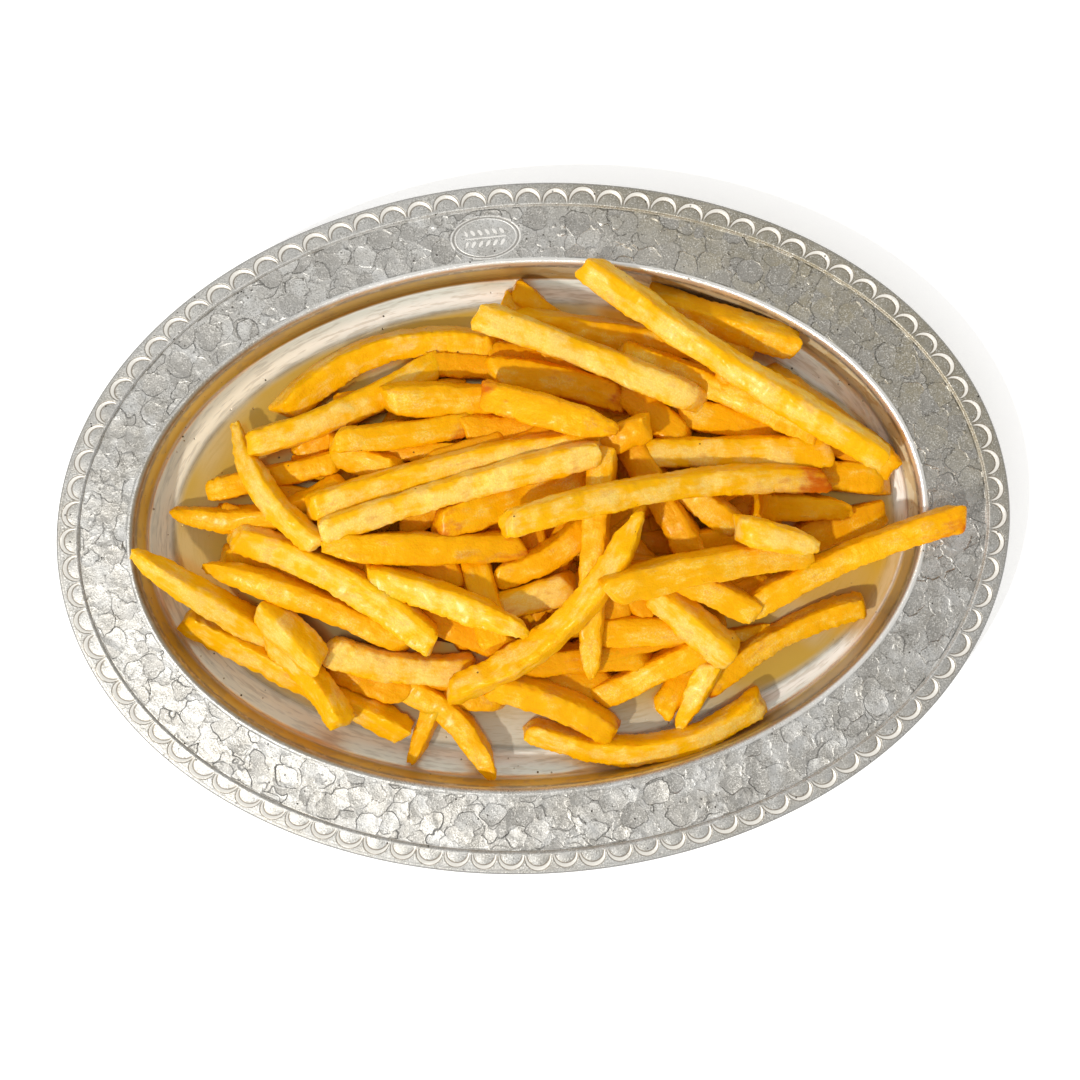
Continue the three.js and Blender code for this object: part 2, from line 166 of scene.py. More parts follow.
class Shader:
    """Short names for building one material's nodes."""

    def __init__(self, name):
        self.material = bpy.data.materials.new(name)
        self.material.use_nodes = True
        self.tree = self.material.node_tree
        self.surface = self.tree.nodes["Principled BSDF"]

    def node(self, kind, settings=None, **sockets):
        made = self.tree.nodes.new(kind)
        for key, value in (settings or {}).items():
            setattr(made, key, value)
        for key, value in sockets.items():
            self.put(made.inputs[key.replace("_", " ")], value)
        return made

    def put(self, socket, value):
        if isinstance(value, bpy.types.NodeSocket):
            self.tree.links.new(value, socket)
        else:
            socket.default_value = value

    def attribute(self, name, output="Fac"):
        return self.node("ShaderNodeAttribute", {"attribute_name": name}).outputs[output]

    def millimetres(self):
        place = self.node("ShaderNodeTexCoord").outputs["Object"]
        scaled = self.node("ShaderNodeVectorMath", {"operation": "SCALE"})
        self.put(scaled.inputs[0], place)
        self.put(scaled.inputs["Scale"], 1 / MM)
        return scaled.outputs[0]

    def stretch(self, vector, factors):
        scaled = self.node("ShaderNodeVectorMath", {"operation": "MULTIPLY"})
        self.put(scaled.inputs[0], vector)
        self.put(scaled.inputs[1], factors)
        return scaled.outputs[0]

    def noise(self, vector, size, detail=2.0, roughness=0.5):
        """Noise whose lumps are about this many millimetres wide."""
        made = self.node("ShaderNodeTexNoise", Vector=vector, Scale=1 / size, Detail=detail, Roughness=roughness)
        return made.outputs["Fac"]

    def cells(self, vector, size):
        made = self.node("ShaderNodeTexVoronoi", Vector=vector, Scale=1 / size)
        return made.outputs["Distance"]

    def maths(self, operation, a, b=0.0):
        made = self.node("ShaderNodeMath", {"operation": operation})
        self.put(made.inputs[0], a)
        self.put(made.inputs[1], b)
        return made.outputs[0]

    def ramp(self, value, low, high, start=0.0, end=1.0):
        """start at low, end at high, smooth between."""
        made = self.node("ShaderNodeMapRange", {"interpolation_type": "SMOOTHSTEP"}, Value=value)
        for key, setting in (("From Min", low), ("From Max", high), ("To Min", start), ("To Max", end)):
            self.put(made.inputs[key], setting)
        return made.outputs["Result"]

    def line(self, value, at, width):
        """1 where the value is at, falling to 0 this far from it."""
        return self.ramp(self.maths("ABSOLUTE", self.maths("SUBTRACT", value, at)), 0.0, width, 1.0, 0.0)

    def split(self, vector):
        return self.node("ShaderNodeSeparateXYZ", Vector=vector).outputs

    def mix(self, share, a, b):
        made = self.node("ShaderNodeMix", {"data_type": "RGBA"})
        self.put(made.inputs["Factor"], share)
        colours = [socket for socket in made.inputs if socket.type == "RGBA"]
        for socket, value in zip(colours, (a, b)):
            self.put(socket, value if isinstance(value, bpy.types.NodeSocket) else (*value, 1))
        return [socket for socket in made.outputs if socket.type == "RGBA"][0]

    def bump(self, height, distance, below=None):
        """Relief this many millimetres deep, over the bump below if there is one."""
        made = self.node("ShaderNodeBump", Height=height, Distance=distance * MM)
        if below is not None:
            self.put(made.inputs["Normal"], below)
        return made.outputs["Normal"]

    def set(self, **sockets):
        for key, value in sockets.items():
            self.put(self.surface.inputs[key.replace("_", " ")], value)


# ---------------------------------------------------------------- materials


def facets(s, place):
    """Round flats left by the hammer, the later sunk into the earlier: height, outlines and tones."""
    height, outlines, tones = 0.0, 0.0, 0.5
    bend = s.node("ShaderNodeTexNoise", Vector=place, Scale=1 / 5, Detail=2.0).outputs["Color"]
    bent = s.node("ShaderNodeVectorMath", {"operation": "MULTIPLY_ADD"})
    s.put(bent.inputs[0], bend)
    s.put(bent.inputs[1], (4, 4, 4))
    s.put(bent.inputs[2], place)
    for layer in range(4):
        shifted = s.node("ShaderNodeVectorMath", {"operation": "ADD"})
        s.put(shifted.inputs[0], bent.outputs[0])
        s.put(shifted.inputs[1], (31.7 * layer, 17.3 * layer, 0))
        blow = s.node("ShaderNodeTexVoronoi", Vector=shifted.outputs[0], Scale=1 / BLOW_PITCH)
        reach = s.node("ShaderNodeVectorMath", {"operation": "SUBTRACT"})
        s.put(reach.inputs[0], shifted.outputs[0])
        s.put(reach.inputs[1], blow.outputs["Position"])
        tip = s.node("ShaderNodeVectorMath", {"operation": "SUBTRACT"})
        s.put(tip.inputs[0], blow.outputs["Color"])
        s.put(tip.inputs[1], (0.5, 0.5, 0.5))
        slope = s.node("ShaderNodeVectorMath", {"operation": "DOT_PRODUCT"})
        s.put(slope.inputs[0], reach.outputs[0])
        s.put(slope.inputs[1], tip.outputs[0])
        level = s.maths("SUBTRACT", s.split(blow.outputs["Color"])["Z"], BLOW_DROP * layer)
        level = s.maths("ADD", s.maths("MULTIPLY", slope.outputs["Value"], 0.65), level)
        bowl = s.maths("POWER", s.maths("DIVIDE", blow.outputs["Distance"], BLOW_REACH), 2)
        level = s.maths("ADD", s.maths("MULTIPLY", bowl, BLOW_HOLLOW), level)
        tone = s.split(blow.outputs["Color"])["Y"]
        inside = s.ramp(blow.outputs["Distance"], BLOW_REACH - 0.05, BLOW_REACH, 1.0, 0.0)
        outside = s.maths("SUBTRACT", 1.0, inside)
        height = s.maths("ADD", s.maths("MULTIPLY", level, inside), s.maths("MULTIPLY", height, outside))
        tones = s.maths("ADD", s.maths("MULTIPLY", tone, inside), s.maths("MULTIPLY", tones, outside))
        outline = s.line(blow.outputs["Distance"], BLOW_REACH, 0.03)
        outlines = s.maths("MAXIMUM", outline, s.maths("MULTIPLY", outlines, outside))
    return height, outlines, tones


def sprig(s, along, across):
    """Leaves in pairs along a stem, in millimetres about the middle of the stamp."""
    shifted = s.maths("SUBTRACT", s.maths("FLOORED_MODULO", s.maths("SUBTRACT", along, 0.4), 1.9), 0.95)
    out = s.maths("SUBTRACT", s.maths("ABSOLUTE", across), 1.5)
    broad = s.maths("SUBTRACT", s.maths("MULTIPLY", shifted, 0.8), s.maths("MULTIPLY", out, 0.6))
    tall = s.maths("ADD", s.maths("MULTIPLY", shifted, 0.6), s.maths("MULTIPLY", out, 0.8))
    reach = s.maths("ADD", s.maths("POWER", s.maths("DIVIDE", broad, 0.5), 2), s.maths("POWER", tall, 2))
    marks = s.maths("MAXIMUM", s.ramp(reach, 0.6, 1.0, 1.0, 0.0), s.line(across, 0.0, 0.3))
    return s.maths("MULTIPLY", marks, s.ramp(s.maths("ABSOLUTE", along), 5.2, 5.5, 1.0, 0.0))


def metal_material():
    """Hammered aluminium: worn and grey on the rim and polished in the well, with painted highlights, painted shade and
    painted reflections of the fries; the well's floor is golden, partly from grease and partly as painted reflection.
    """
    s = Shader("hammered_metal")
    place = s.millimetres()
    inset = s.attribute("inset")
    cloud = s.noise(place, 7.0, 2.0, 0.6)
    grain = s.noise(place, 0.42, 2.0, 0.8)
    scuffs = s.noise(place, 2.2, 2.0, 0.6)

    # Zones by distance in from the edge.
    painted_light_and_grease = s.split(s.attribute("painted_light_and_grease", "Vector"))
    painted_reflection_share = painted_light_and_grease["X"]
    left = s.attribute("left")
    spot = s.split(place)
    shore = s.maths("SUBTRACT", s.maths("SUBTRACT", inset, FLOOR_AT), painted_light_and_grease["Z"])
    stamp = s.split(s.attribute("stamp", "Vector"))
    well = s.ramp(inset, RIM_WIDTH + 0.9, RIM_WIDTH + 1.5)
    floor = s.ramp(shore, -1.6, 1.0)
    beaten = s.maths("MULTIPLY", s.ramp(inset, STEP_AT + 0.7, STEP_AT + 1.1),
                     s.ramp(inset, RIM_WIDTH - 0.9, RIM_WIDTH - 0.5, 1.0, 0.0))
    beaten = s.maths("MULTIPLY", beaten, s.ramp(stamp["Z"], 0.93, 1.03))
    roll = s.maths("MULTIPLY", s.ramp(inset, RIM_WIDTH - 0.7, RIM_WIDTH - 0.3),
                   s.ramp(inset, RIM_WIDTH + 1.2, RIM_WIDTH + 1.6, 1.0, 0.0))
    # Painted highlight: the roll is painted near white on the side that faces the light.
    crest = s.maths("MULTIPLY", roll, painted_light_and_grease["Y"])
    # Painted shade: the roll into the well is painted dark grey-brown on the left side, which faces away from the
    # light.
    painted_shade_roll = s.maths("MULTIPLY", s.ramp(inset, RIM_WIDTH - 0.1, RIM_WIDTH + 0.5), roll)
    painted_shade_roll = s.maths("MULTIPLY", s.maths("MULTIPLY", painted_shade_roll, left), s.ramp(scuffs, 0.3, 0.5, 0.6, 1.0))
    rim_line = s.maths("MULTIPLY", s.line(inset, RIM_WIDTH + 1.55, 0.25), s.ramp(scuffs, 0.34, 0.5, 0.3, 1.0))
    behind = s.ramp(spot["Y"], 35.0, 60.0)
    inner = s.maths("SUBTRACT", inset, behind)
    # Painted reflection of the fries: a golden band down the wall.
    gold = s.maths("MULTIPLY", s.ramp(inset, RIM_WIDTH + 1.5, RIM_WIDTH + 1.7),
                   s.ramp(inner, RIM_WIDTH + 2.3, RIM_WIDTH + 2.8, 1.0, 0.0))
    glint = s.line(inner, RIM_WIDTH + 2.9, 0.3)
    grease_and_fry_reflection = s.maths("MULTIPLY", s.attribute("grease_and_fry_reflection"), s.ramp(inset, RIM_WIDTH + 2.9, RIM_WIDTH + 3.6))
    # Painted shade: the upper right of the rim is painted a darker brown-grey.
    painted_shade_upper_right = s.maths("ADD", s.maths("MULTIPLY", spot["X"], 0.8), spot["Y"])
    painted_shade_upper_right = s.maths("MULTIPLY", s.ramp(painted_shade_upper_right, 78.0, 116.0), s.ramp(cloud, 0.3, 0.6, 0.55, 0.85))
    ring = s.node("ShaderNodeCombineXYZ", X=inset, Y=s.maths("MULTIPLY", spot["X"], 0.12),
                  Z=s.maths("MULTIPLY", spot["Y"], 0.12)).outputs["Vector"]
    streaks = s.maths("MULTIPLY", s.ramp(s.noise(ring, 0.8, 2.0, 0.65), 0.46, 0.66), well)
    cove_end = s.maths("MULTIPLY", s.line(shore, -0.6, 1.3), s.ramp(cloud, 0.35, 0.6, 0.35, 0.8))
    cove = s.maths("MULTIPLY", s.line(shore, -3.2, 3.2), s.ramp(inset, RIM_WIDTH + 2.8, RIM_WIDTH + 3.2))
    step = s.line(inset, STEP_AT + 0.62, 0.15)
    hem = s.line(inset, 0.3, 0.3)

    # Punch marks of the border and the unlettered stamp, drawn finer than the mesh.
    punch = s.split(s.attribute("punch", "Vector"))
    reach = s.maths("SQRT", s.maths("ADD", s.maths("POWER", punch["X"], 2), s.maths("POWER", punch["Y"], 2)))
    inwards = s.maths("POWER", s.maths("ADD", punch["Y"], FOOT_SHIFT), 2)
    foot = s.maths("SQRT", s.maths("ADD", s.maths("POWER", punch["X"], 2), inwards))
    crown = s.maths("MULTIPLY", s.ramp(punch["Y"], -0.25, 0.05), s.ramp(inset, STEP_AT - 0.1, STEP_AT, 1.0, 0.0))
    arcs = s.maths("MAXIMUM", s.maths("MULTIPLY", s.line(reach, 1.03, 0.07), 0.9), s.line(foot, FOOT_RADIUS, 0.09))
    arcs = s.maths("MULTIPLY", arcs, crown)
    punch_wall = s.maths("MULTIPLY", s.ramp(foot, FOOT_RADIUS, FOOT_RADIUS + 0.05), s.ramp(reach, 0.97, 1.02, 1.0, 0.0))
    punch_wall = s.maths("MULTIPLY", punch_wall, crown)
    rings = s.maths("MAXIMUM", s.line(stamp["Z"], 0.97, 0.04), s.line(stamp["Z"], 0.86, 0.03))
    rings = s.maths("MAXIMUM", rings, sprig(s, stamp["X"], stamp["Y"]))
    gutter = s.maths("MULTIPLY", s.line(stamp["Z"], 0.92, 0.05), 0.8)

    tipped, outlines, tones = facets(s, place)
    outlines = s.maths("MULTIPLY", s.maths("MULTIPLY", outlines, beaten), s.ramp(scuffs, 0.40, 0.60))
    tint = s.maths("MULTIPLY", tones, beaten)
    mottle = s.noise(place, 1.6, 2.0, 0.75)
    coarse = s.ramp(scuffs, 0.35, 0.6, 0.35, 1.0)
    pits = s.ramp(s.cells(place, 2.1), 0.07, 0.16, 1.0, 0.0)
    pits = s.maths("MULTIPLY", pits, s.ramp(s.noise(place, 6.0, 2.0), 0.5, 0.66))
    grey = s.mix(s.ramp(cloud, 0.3, 0.7), (0.46, 0.445, 0.41), (0.62, 0.625, 0.62))
    # Painted light: the far (+Y) part of the rim is painted lighter.
    grey = s.mix(s.maths("MULTIPLY", behind, 0.34), grey, (0.86, 0.86, 0.84))
    grey = s.mix(painted_shade_upper_right, grey, (0.33, 0.285, 0.18))
    border = s.ramp(inset, STEP_AT - 0.3, STEP_AT + 0.3, 0.30, 0.0)
    grey = s.mix(s.maths("MULTIPLY", border, s.ramp(cloud, 0.35, 0.6)), grey, (0.26, 0.26, 0.25))
    grey = s.mix(s.ramp(tint, 0.2, 1.0, 0.0, 0.85), grey, (0.35, 0.34, 0.32))
    grey = s.mix(s.ramp(mottle, 0.45, 0.68, 0.0, 0.35), grey, (0.42, 0.41, 0.385))
    grey = s.mix(s.maths("MULTIPLY", s.ramp(grain, 0.5, 0.68, 0.0, 0.85), coarse), grey, (0.26, 0.25, 0.22))
    grey = s.mix(s.maths("MULTIPLY", s.ramp(grain, 0.5, 0.32, 0.0, 0.8), coarse), grey, (0.85, 0.84, 0.80))
    # Dark lines along the edges of the blows: painted shade in these creases, partly dirt.
    grey = s.mix(s.maths("MULTIPLY", outlines, 0.34), grey, (0.14, 0.13, 0.11))
    # Painted shade in the stamp's groove, and painted highlight on its raised rings and sprig.
    grey = s.mix(gutter, grey, (0.30, 0.28, 0.25))
    grey = s.mix(s.maths("MULTIPLY", rings, 0.8), grey, (0.90, 0.89, 0.86))
    # Painted highlight on the curved wall of each punch mark.
    grey = s.mix(s.maths("MULTIPLY", punch_wall, 0.9), grey, (0.88, 0.86, 0.81))
    # Painted shade: dark lines along the arcs of each punch mark and along the step, the step's line fainter on the
    # side that faces the light.
    step = s.maths("MULTIPLY", step, s.ramp(painted_light_and_grease["Y"], 0.0, 1.0, 1.0, 0.4))
    grey = s.mix(s.maths("MULTIPLY", s.maths("MAXIMUM", arcs, step), 0.8), grey, (0.20, 0.16, 0.11))
    grey = s.mix(crest, grey, (0.93, 0.92, 0.89))
    # The polished well, painted warmer on the left side: painted reflection of the fries.
    grey = s.mix(well, grey, s.mix(left, (0.84, 0.85, 0.76), (0.84, 0.74, 0.56)))
    # Painted highlight down the cove, warmer on the left side as painted reflection of the fries.
    painted_cove_highlight = s.mix(left, (0.98, 0.96, 0.92), (1.0, 0.92, 0.74))
    grey = s.mix(s.maths("MULTIPLY", cove, 0.9), grey, painted_cove_highlight)
    grey = s.mix(s.maths("MULTIPLY", streaks, 0.5), grey, (0.52, 0.46, 0.36))
    # The band's colour is painted reflection: gold where the wall faces away from the light, cream where it faces it.
    golden = s.mix(s.ramp(painted_reflection_share, 0.2, 0.8), (0.90, 0.84, 0.56), (0.84, 0.59, 0.05))
    golden = s.mix(s.ramp(streaks, 0.1, 0.6, 0.0, 0.6), golden, (0.62, 0.44, 0.12))
    # Painted shade: the golden band is painted dark brown towards the far (+Y) side.
    painted_shade_top = s.maths("MULTIPLY", behind, s.ramp(inset, RIM_WIDTH + 1.4, RIM_WIDTH + 3.2, 0.35, 0.95))
    golden = s.mix(painted_shade_top, golden, (0.32, 0.17, 0.02))
    grey = s.mix(s.maths("MULTIPLY", gold, 0.95), grey, golden)
    grey = s.mix(s.maths("MULTIPLY", glint, 0.7), grey, (0.95, 0.93, 0.86))
    # Painted shade on the roll and upper wall at the lower right of the well.
    painted_shade_lower_right = s.maths("MULTIPLY", s.ramp(inset, RIM_WIDTH + 0.3, RIM_WIDTH + 0.9),
                   s.ramp(inset, RIM_WIDTH + 2.2, RIM_WIDTH + 2.7, 0.6, 0.0))
    grey = s.mix(s.maths("MULTIPLY", painted_shade_lower_right, s.attribute("painted_shade_lower_right")), grey, (0.30, 0.28, 0.24))
    # Painted shade on the left side of the roll.
    grey = s.mix(s.maths("MULTIPLY", painted_shade_roll, 0.85), grey, (0.33, 0.28, 0.20))
    # Dark lines: painted shade in the crease at the foot of the roll, and painted dark reflection where the cove meets
    # the floor.
    grey = s.mix(s.maths("MULTIPLY", s.maths("MAXIMUM", rim_line, cove_end), 0.75), grey, (0.20, 0.17, 0.13))
    # Painted shade along the turned-down outer edge.
    grey = s.mix(s.maths("MULTIPLY", hem, 0.85), grey, (0.20, 0.20, 0.20))
    # The floor's golden colour: partly a layer of grease, partly painted reflection of the fries; fainter where Y is
    # below -42 mm.
    grease_and_reflection = s.maths("MULTIPLY", floor, s.ramp(s.noise(place, 22.0, 1.0), 0.38, 0.58, 0.7, 1.0))
    grease_and_reflection = s.maths("MULTIPLY", grease_and_reflection, s.ramp(spot["Y"], -56.0, -42.0, 0.25, 1.0))
    greased_and_reflecting = s.mix(grease_and_reflection, grey, (0.72, 0.45, 0.07))
    # A golden-brown patch on the lower right wall and cove: partly grease, partly painted reflection of the fry beside
    # it.
    greased_and_reflecting = s.mix(s.maths("MULTIPLY", grease_and_fry_reflection, 0.75), greased_and_reflecting, (0.58, 0.33, 0.01))
    # Near-black specks in pits and at the corners of the blows: painted shade in these hollows, partly dirt.
    corners = s.maths("MULTIPLY", outlines, s.ramp(grain, 0.56, 0.64))
    s.set(Base_Color=s.mix(s.maths("MAXIMUM", pits, corners), greased_and_reflecting, (0.06, 0.05, 0.04)))

    rough = s.maths("ADD", s.ramp(cloud, 0.3, 0.75, 0.42, 0.50), s.maths("MULTIPLY", tint, 0.06))
    rough = s.maths("SUBTRACT", rough, s.maths("MULTIPLY", s.maths("MAXIMUM", crest, punch_wall), 0.12))
    polished = s.ramp(inset, RIM_WIDTH + 2.2, RIM_WIDTH + 3.2, 0.38, 0.30)
    polished = s.maths("SUBTRACT", polished, s.maths("MULTIPLY", floor, 0.12))
    blend = s.node("ShaderNodeMix", {"data_type": "FLOAT"})
    s.put(blend.inputs["Factor"], well)
    s.put(blend.inputs["A"], rough)
    s.put(blend.inputs["B"], polished)
    metallic = s.maths("SUBTRACT", s.ramp(well, 0.0, 1.0, 0.78, 0.70), s.maths("MULTIPLY", floor, 0.25))
    matt_gold = s.maths("MULTIPLY", gold, s.ramp(painted_reflection_share, 0.2, 0.8, 1.0, 0.0))
    marked = s.maths("MAXIMUM", s.maths("MAXIMUM", matt_gold, punch_wall), s.maths("MAXIMUM", rings, s.maths("MAXIMUM", cove, grease_and_fry_reflection)))
    metallic = s.maths("SUBTRACT", metallic, s.maths("MULTIPLY", marked, 0.6))
    s.set(Metallic=metallic, Roughness=blend.outputs["Result"])

    fine = s.bump(s.maths("MULTIPLY", grain, s.maths("SUBTRACT", 1.0, well)), 0.10)
    fine = s.bump(s.maths("MULTIPLY", scuffs, beaten), 0.14, fine)
    fine = s.bump(s.maths("MULTIPLY", tipped, beaten), 0.25, fine)
    fine = s.bump(s.maths("SUBTRACT", 1.0, s.maths("MAXIMUM", arcs, step)), 0.06, fine)
    fine = s.bump(rings, 0.10, fine)
    s.set(Normal=s.bump(s.maths("SUBTRACT", 1.0, pits), 0.15, fine))
    return s.material


def fry_material(name, pale, golden, deep):
    """Fried potato: pale on the faces, golden along the corners and ends, browned where marked."""
    s = Shader(name)
    local = s.attribute("local", "Vector")
    tone = s.attribute("tone")
    edge = s.attribute("edge")
    brown = s.attribute("brown")
    blotch = s.noise(local, 7.0, 2.0, 0.6)
    patch = s.noise(s.stretch(local, (0.35, 1.0, 1.0)), 2.6, 2.0, 0.6)
    fibre = s.noise(s.stretch(local, (0.28, 1.0, 1.0)), 1.3, 3.0, 0.65)
    crumb = s.noise(local, 0.5, 1.0, 0.75)
    light = s.maths("ADD", tone, s.ramp(blotch, 0.3, 0.7, -0.30, 0.30))
    light = s.maths("ADD", light, s.ramp(patch, 0.3, 0.7, -0.15, 0.15))
    light = s.maths("ADD", light, s.ramp(fibre, 0.3, 0.7, -0.14, 0.14))
    light = s.maths("SUBTRACT", light, s.maths("MULTIPLY", edge, 0.38))
    sparkle = s.maths("MULTIPLY", s.ramp(crumb, 0.48, 0.64), s.ramp(light, 0.4, 1.0, 0.0, 0.7))
    colour = s.mix(s.ramp(light, -0.35, 0.30), CRUST_ORANGE, golden)
    colour = s.mix(s.ramp(light, 0.35, 1.1), colour, pale)
    colour = s.mix(sparkle, colour, CRUMB_PALE)
    spots = s.maths("ADD", brown, s.ramp(blotch, 0.3, 0.7, -0.30, 0.30))
    spots = s.ramp(s.maths("ADD", spots, s.ramp(fibre, 0.3, 0.7, -0.15, 0.15)), 0.15, 0.85)
    colour = s.mix(spots, colour, deep)
    specks = s.maths("MULTIPLY", s.ramp(s.cells(local, 6.0), 0.03, 0.06, 1.0, 0.0), s.ramp(blotch, 0.5, 0.55))
    colour = s.mix(specks, colour, (0.20, 0.06, 0.01))
    s.set(Base_Color=colour, Roughness=s.ramp(crumb, 0.3, 0.7, 0.30, 0.52))
    s.set(Subsurface_Weight=0.30, Subsurface_Radius=(1.0, 0.60, 0.03), Subsurface_Scale=1.6 * MM)
    s.set(Specular_IOR_Level=0.4, Specular_Tint=(1.0, 0.80, 0.15, 1))
    s.set(Coat_Weight=0.08, Coat_Roughness=0.20, Coat_Tint=(1.0, 0.95, 0.70, 1))
    crust = s.bump(crumb, 0.09)
    crust = s.bump(s.noise(local, 1.4, 2.0, 0.6), 0.16, crust)
    crust = s.bump(patch, 0.30, crust)
    s.set(Normal=s.bump(blotch, 0.30, crust))
    return s.material


def plain_material(name, colour, roughness, glow=0.0):
    s = Shader(name)
    s.set(Base_Color=(*colour, 1), Roughness=roughness, Emission_Color=(1, 1, 1, 1), Emission_Strength=glow)
    return s.material


# ---------------------------------------------------------------- platter form

UPPER = [
    (0, LIP_HEIGHT - 0.9),
    (0.15, LIP_HEIGHT - 0.35),
    (0.5, LIP_HEIGHT),
    (0.9, LIP_HEIGHT - 0.05),
    (1.3, LIP_HEIGHT + 0.35),
    (STEP_AT - 0.6, LIP_HEIGHT + 0.65),
    (STEP_AT, LIP_HEIGHT + 0.75),
    (STEP_AT + 0.7, LIP_HEIGHT + 0.75 - STEP_DROP),
    (STEP_AT + 1.2, LIP_HEIGHT + 0.3),
    (RIM_WIDTH - 0.8, RIM_HEIGHT - 0.5),
    (RIM_WIDTH - 0.45, RIM_HEIGHT - 0.15),
    (RIM_WIDTH - 0.1, RIM_HEIGHT),
    (RIM_WIDTH + 0.3, RIM_HEIGHT - 0.1),
    (RIM_WIDTH + 0.65, RIM_HEIGHT - 0.5),
    (RIM_WIDTH + 0.9, RIM_HEIGHT - 1.1),
    (RIM_WIDTH + 1.2, RIM_HEIGHT - 2.8),
    (RIM_WIDTH + 2.0, FLOOR_TOP + 4.2),
    (RIM_WIDTH + 2.5, FLOOR_TOP + 1.9),
    (RIM_WIDTH + 3.4, FLOOR_TOP + 1.1),
    (RIM_WIDTH + 5.8, FLOOR_TOP + 0.45),
    (FLOOR_AT - 0.4, FLOOR_TOP + 0.06),
    (FLOOR_AT + 0.8, FLOOR_TOP),
    (WIDTH / 2, FLOOR_TOP),
]
# The same, with the finer roll from the rim into the well that the solid leaves out.
ROLLED = [row for row in UPPER if row[0] < STEP_AT + 0.2] + [
    (STEP_AT + 0.1, LIP_HEIGHT + 0.75),
    (STEP_AT + 0.55, LIP_HEIGHT + 0.75 - STEP_DROP),
    (STEP_AT + 1.2, LIP_HEIGHT + 0.3),
    (RIM_WIDTH - 0.9, RIM_HEIGHT - 0.45),
    (RIM_WIDTH - 0.4, RIM_HEIGHT - 0.12),
    (RIM_WIDTH + 0.05, RIM_HEIGHT),
    (RIM_WIDTH + 0.5, RIM_HEIGHT - 0.12),
    (RIM_WIDTH + 0.9, RIM_HEIGHT - 0.45),
    (RIM_WIDTH + 1.2, RIM_HEIGHT - 0.95),
    (RIM_WIDTH + 1.45, RIM_HEIGHT - 1.8),
    (RIM_WIDTH + 1.62, RIM_HEIGHT - 3.0),
    (RIM_WIDTH + 2.2, FLOOR_TOP + 4.2),
    (RIM_WIDTH + 2.65, FLOOR_TOP + 1.9),
] + [row for row in UPPER if row[0] > RIM_WIDTH + 3]
UNDER = [
    (0, LIP_HEIGHT - 0.9),
    (0.15, LIP_HEIGHT - 1.3),
    (0.7, LIP_HEIGHT - 1.4),
    (STEP_AT, LIP_HEIGHT + 0.4 - SHEET),
    (RIM_WIDTH - 1.4, RIM_HEIGHT - 0.6 - SHEET),
    (RIM_WIDTH - 0.8, RIM_HEIGHT - 2.4),
    (RIM_WIDTH - 0.3, RIM_HEIGHT - 3.2),
    (RIM_WIDTH + 0.5, FLOOR_TOP + 4.2),
    (RIM_WIDTH + 1.4, FLOOR_TOP + 1.1),
    (RIM_WIDTH + 2.9, 0.5),
    (FLOOR_AT - 2, 0),
    (WIDTH / 2, 0),
]


def profile_height(rows, inset):
    inset_rows, heights = np.array(rows).T
    return np.interp(inset, inset_rows, heights)


def shift_share(inset):
    return np.clip((inset - STEP_AT) / (RIM_WIDTH - STEP_AT), 0, 1)


def platter_top(x, y):
    """Height of the metal under points of the plan; far below it beyond the edge."""
    outer = np.full(x.shape, -20.0)
    inner = np.full(x.shape, WIDTH / 2 - 0.5)
    for _ in range(24):
        inset = (outer + inner) / 2
        share = shift_share(inset)
        along = (x - WELL_SHIFT[0] * share) / (LENGTH / 2 - inset)
        across = (y - WELL_SHIFT[1] * share) / (WIDTH / 2 - inset)
        inside = along**2 + across**2 < 1
        outer = np.where(inside, inset, outer)
        inner = np.where(inside, inner, inset)
    return np.where(outer < 0, -50.0, profile_height(UPPER, outer))


def even_angles(count):
    """Angles round the oval whose points are evenly spaced along the decorated border."""
    fine = np.linspace(0, 2 * np.pi, 7201)
    x = (LENGTH / 2 - 3) * np.cos(fine)
    y = (WIDTH / 2 - 3) * np.sin(fine)
    run = np.concatenate([[0], np.cumsum(np.hypot(np.diff(x), np.diff(y)))])
    return np.interp(np.arange(count) / count * run[-1], run, fine), run[-1]


def oval_point(inset, angle):
    share = shift_share(inset)
    x = (LENGTH / 2 - inset) * np.cos(angle) + WELL_SHIFT[0] * share
    y = (WIDTH / 2 - inset) * np.sin(angle) + WELL_SHIFT[1] * share
    return x, y


def punch_place(inset, run, girth):
    """Place in the nearest punch mark, in radii: aside from its middle, and outwards."""
    pitch = girth / CRESCENTS
    number = np.floor(run / pitch).astype(int) % CRESCENTS
    wobble = np.random.default_rng(11).uniform(-1, 1, (2, CRESCENTS))
    radius = CRESCENT_RADIUS * (1 + 0.05 * wobble[0][number])
    aside = abs(run - (np.floor(run / pitch) + 0.5) * pitch)
    return aside / radius, (CRESCENT_AT + 0.25 * wobble[1][number] - inset) / radius


def punch_relief(aside, outwards):
    """Each mark is a half disc, sunk deepest at the foot of the curved wall on its outer side."""
    top = np.hypot(aside, outwards)
    foot = np.hypot(aside, outwards + FOOT_SHIFT) / FOOT_RADIUS
    climb = np.clip((foot - 1) / np.maximum(foot - top, 0.02), 0, 1)
    sunk = np.where(foot < 1, np.exp((foot - 1) / 0.6), 1 - climb)
    lip = 0.06 * np.exp(-(((top - 1.06) / 0.06) ** 2))
    return (lip - PUNCH_DEPTH * np.where(top < 1, sunk, 0)) * smoothstep(-0.3, 0.2, outwards)


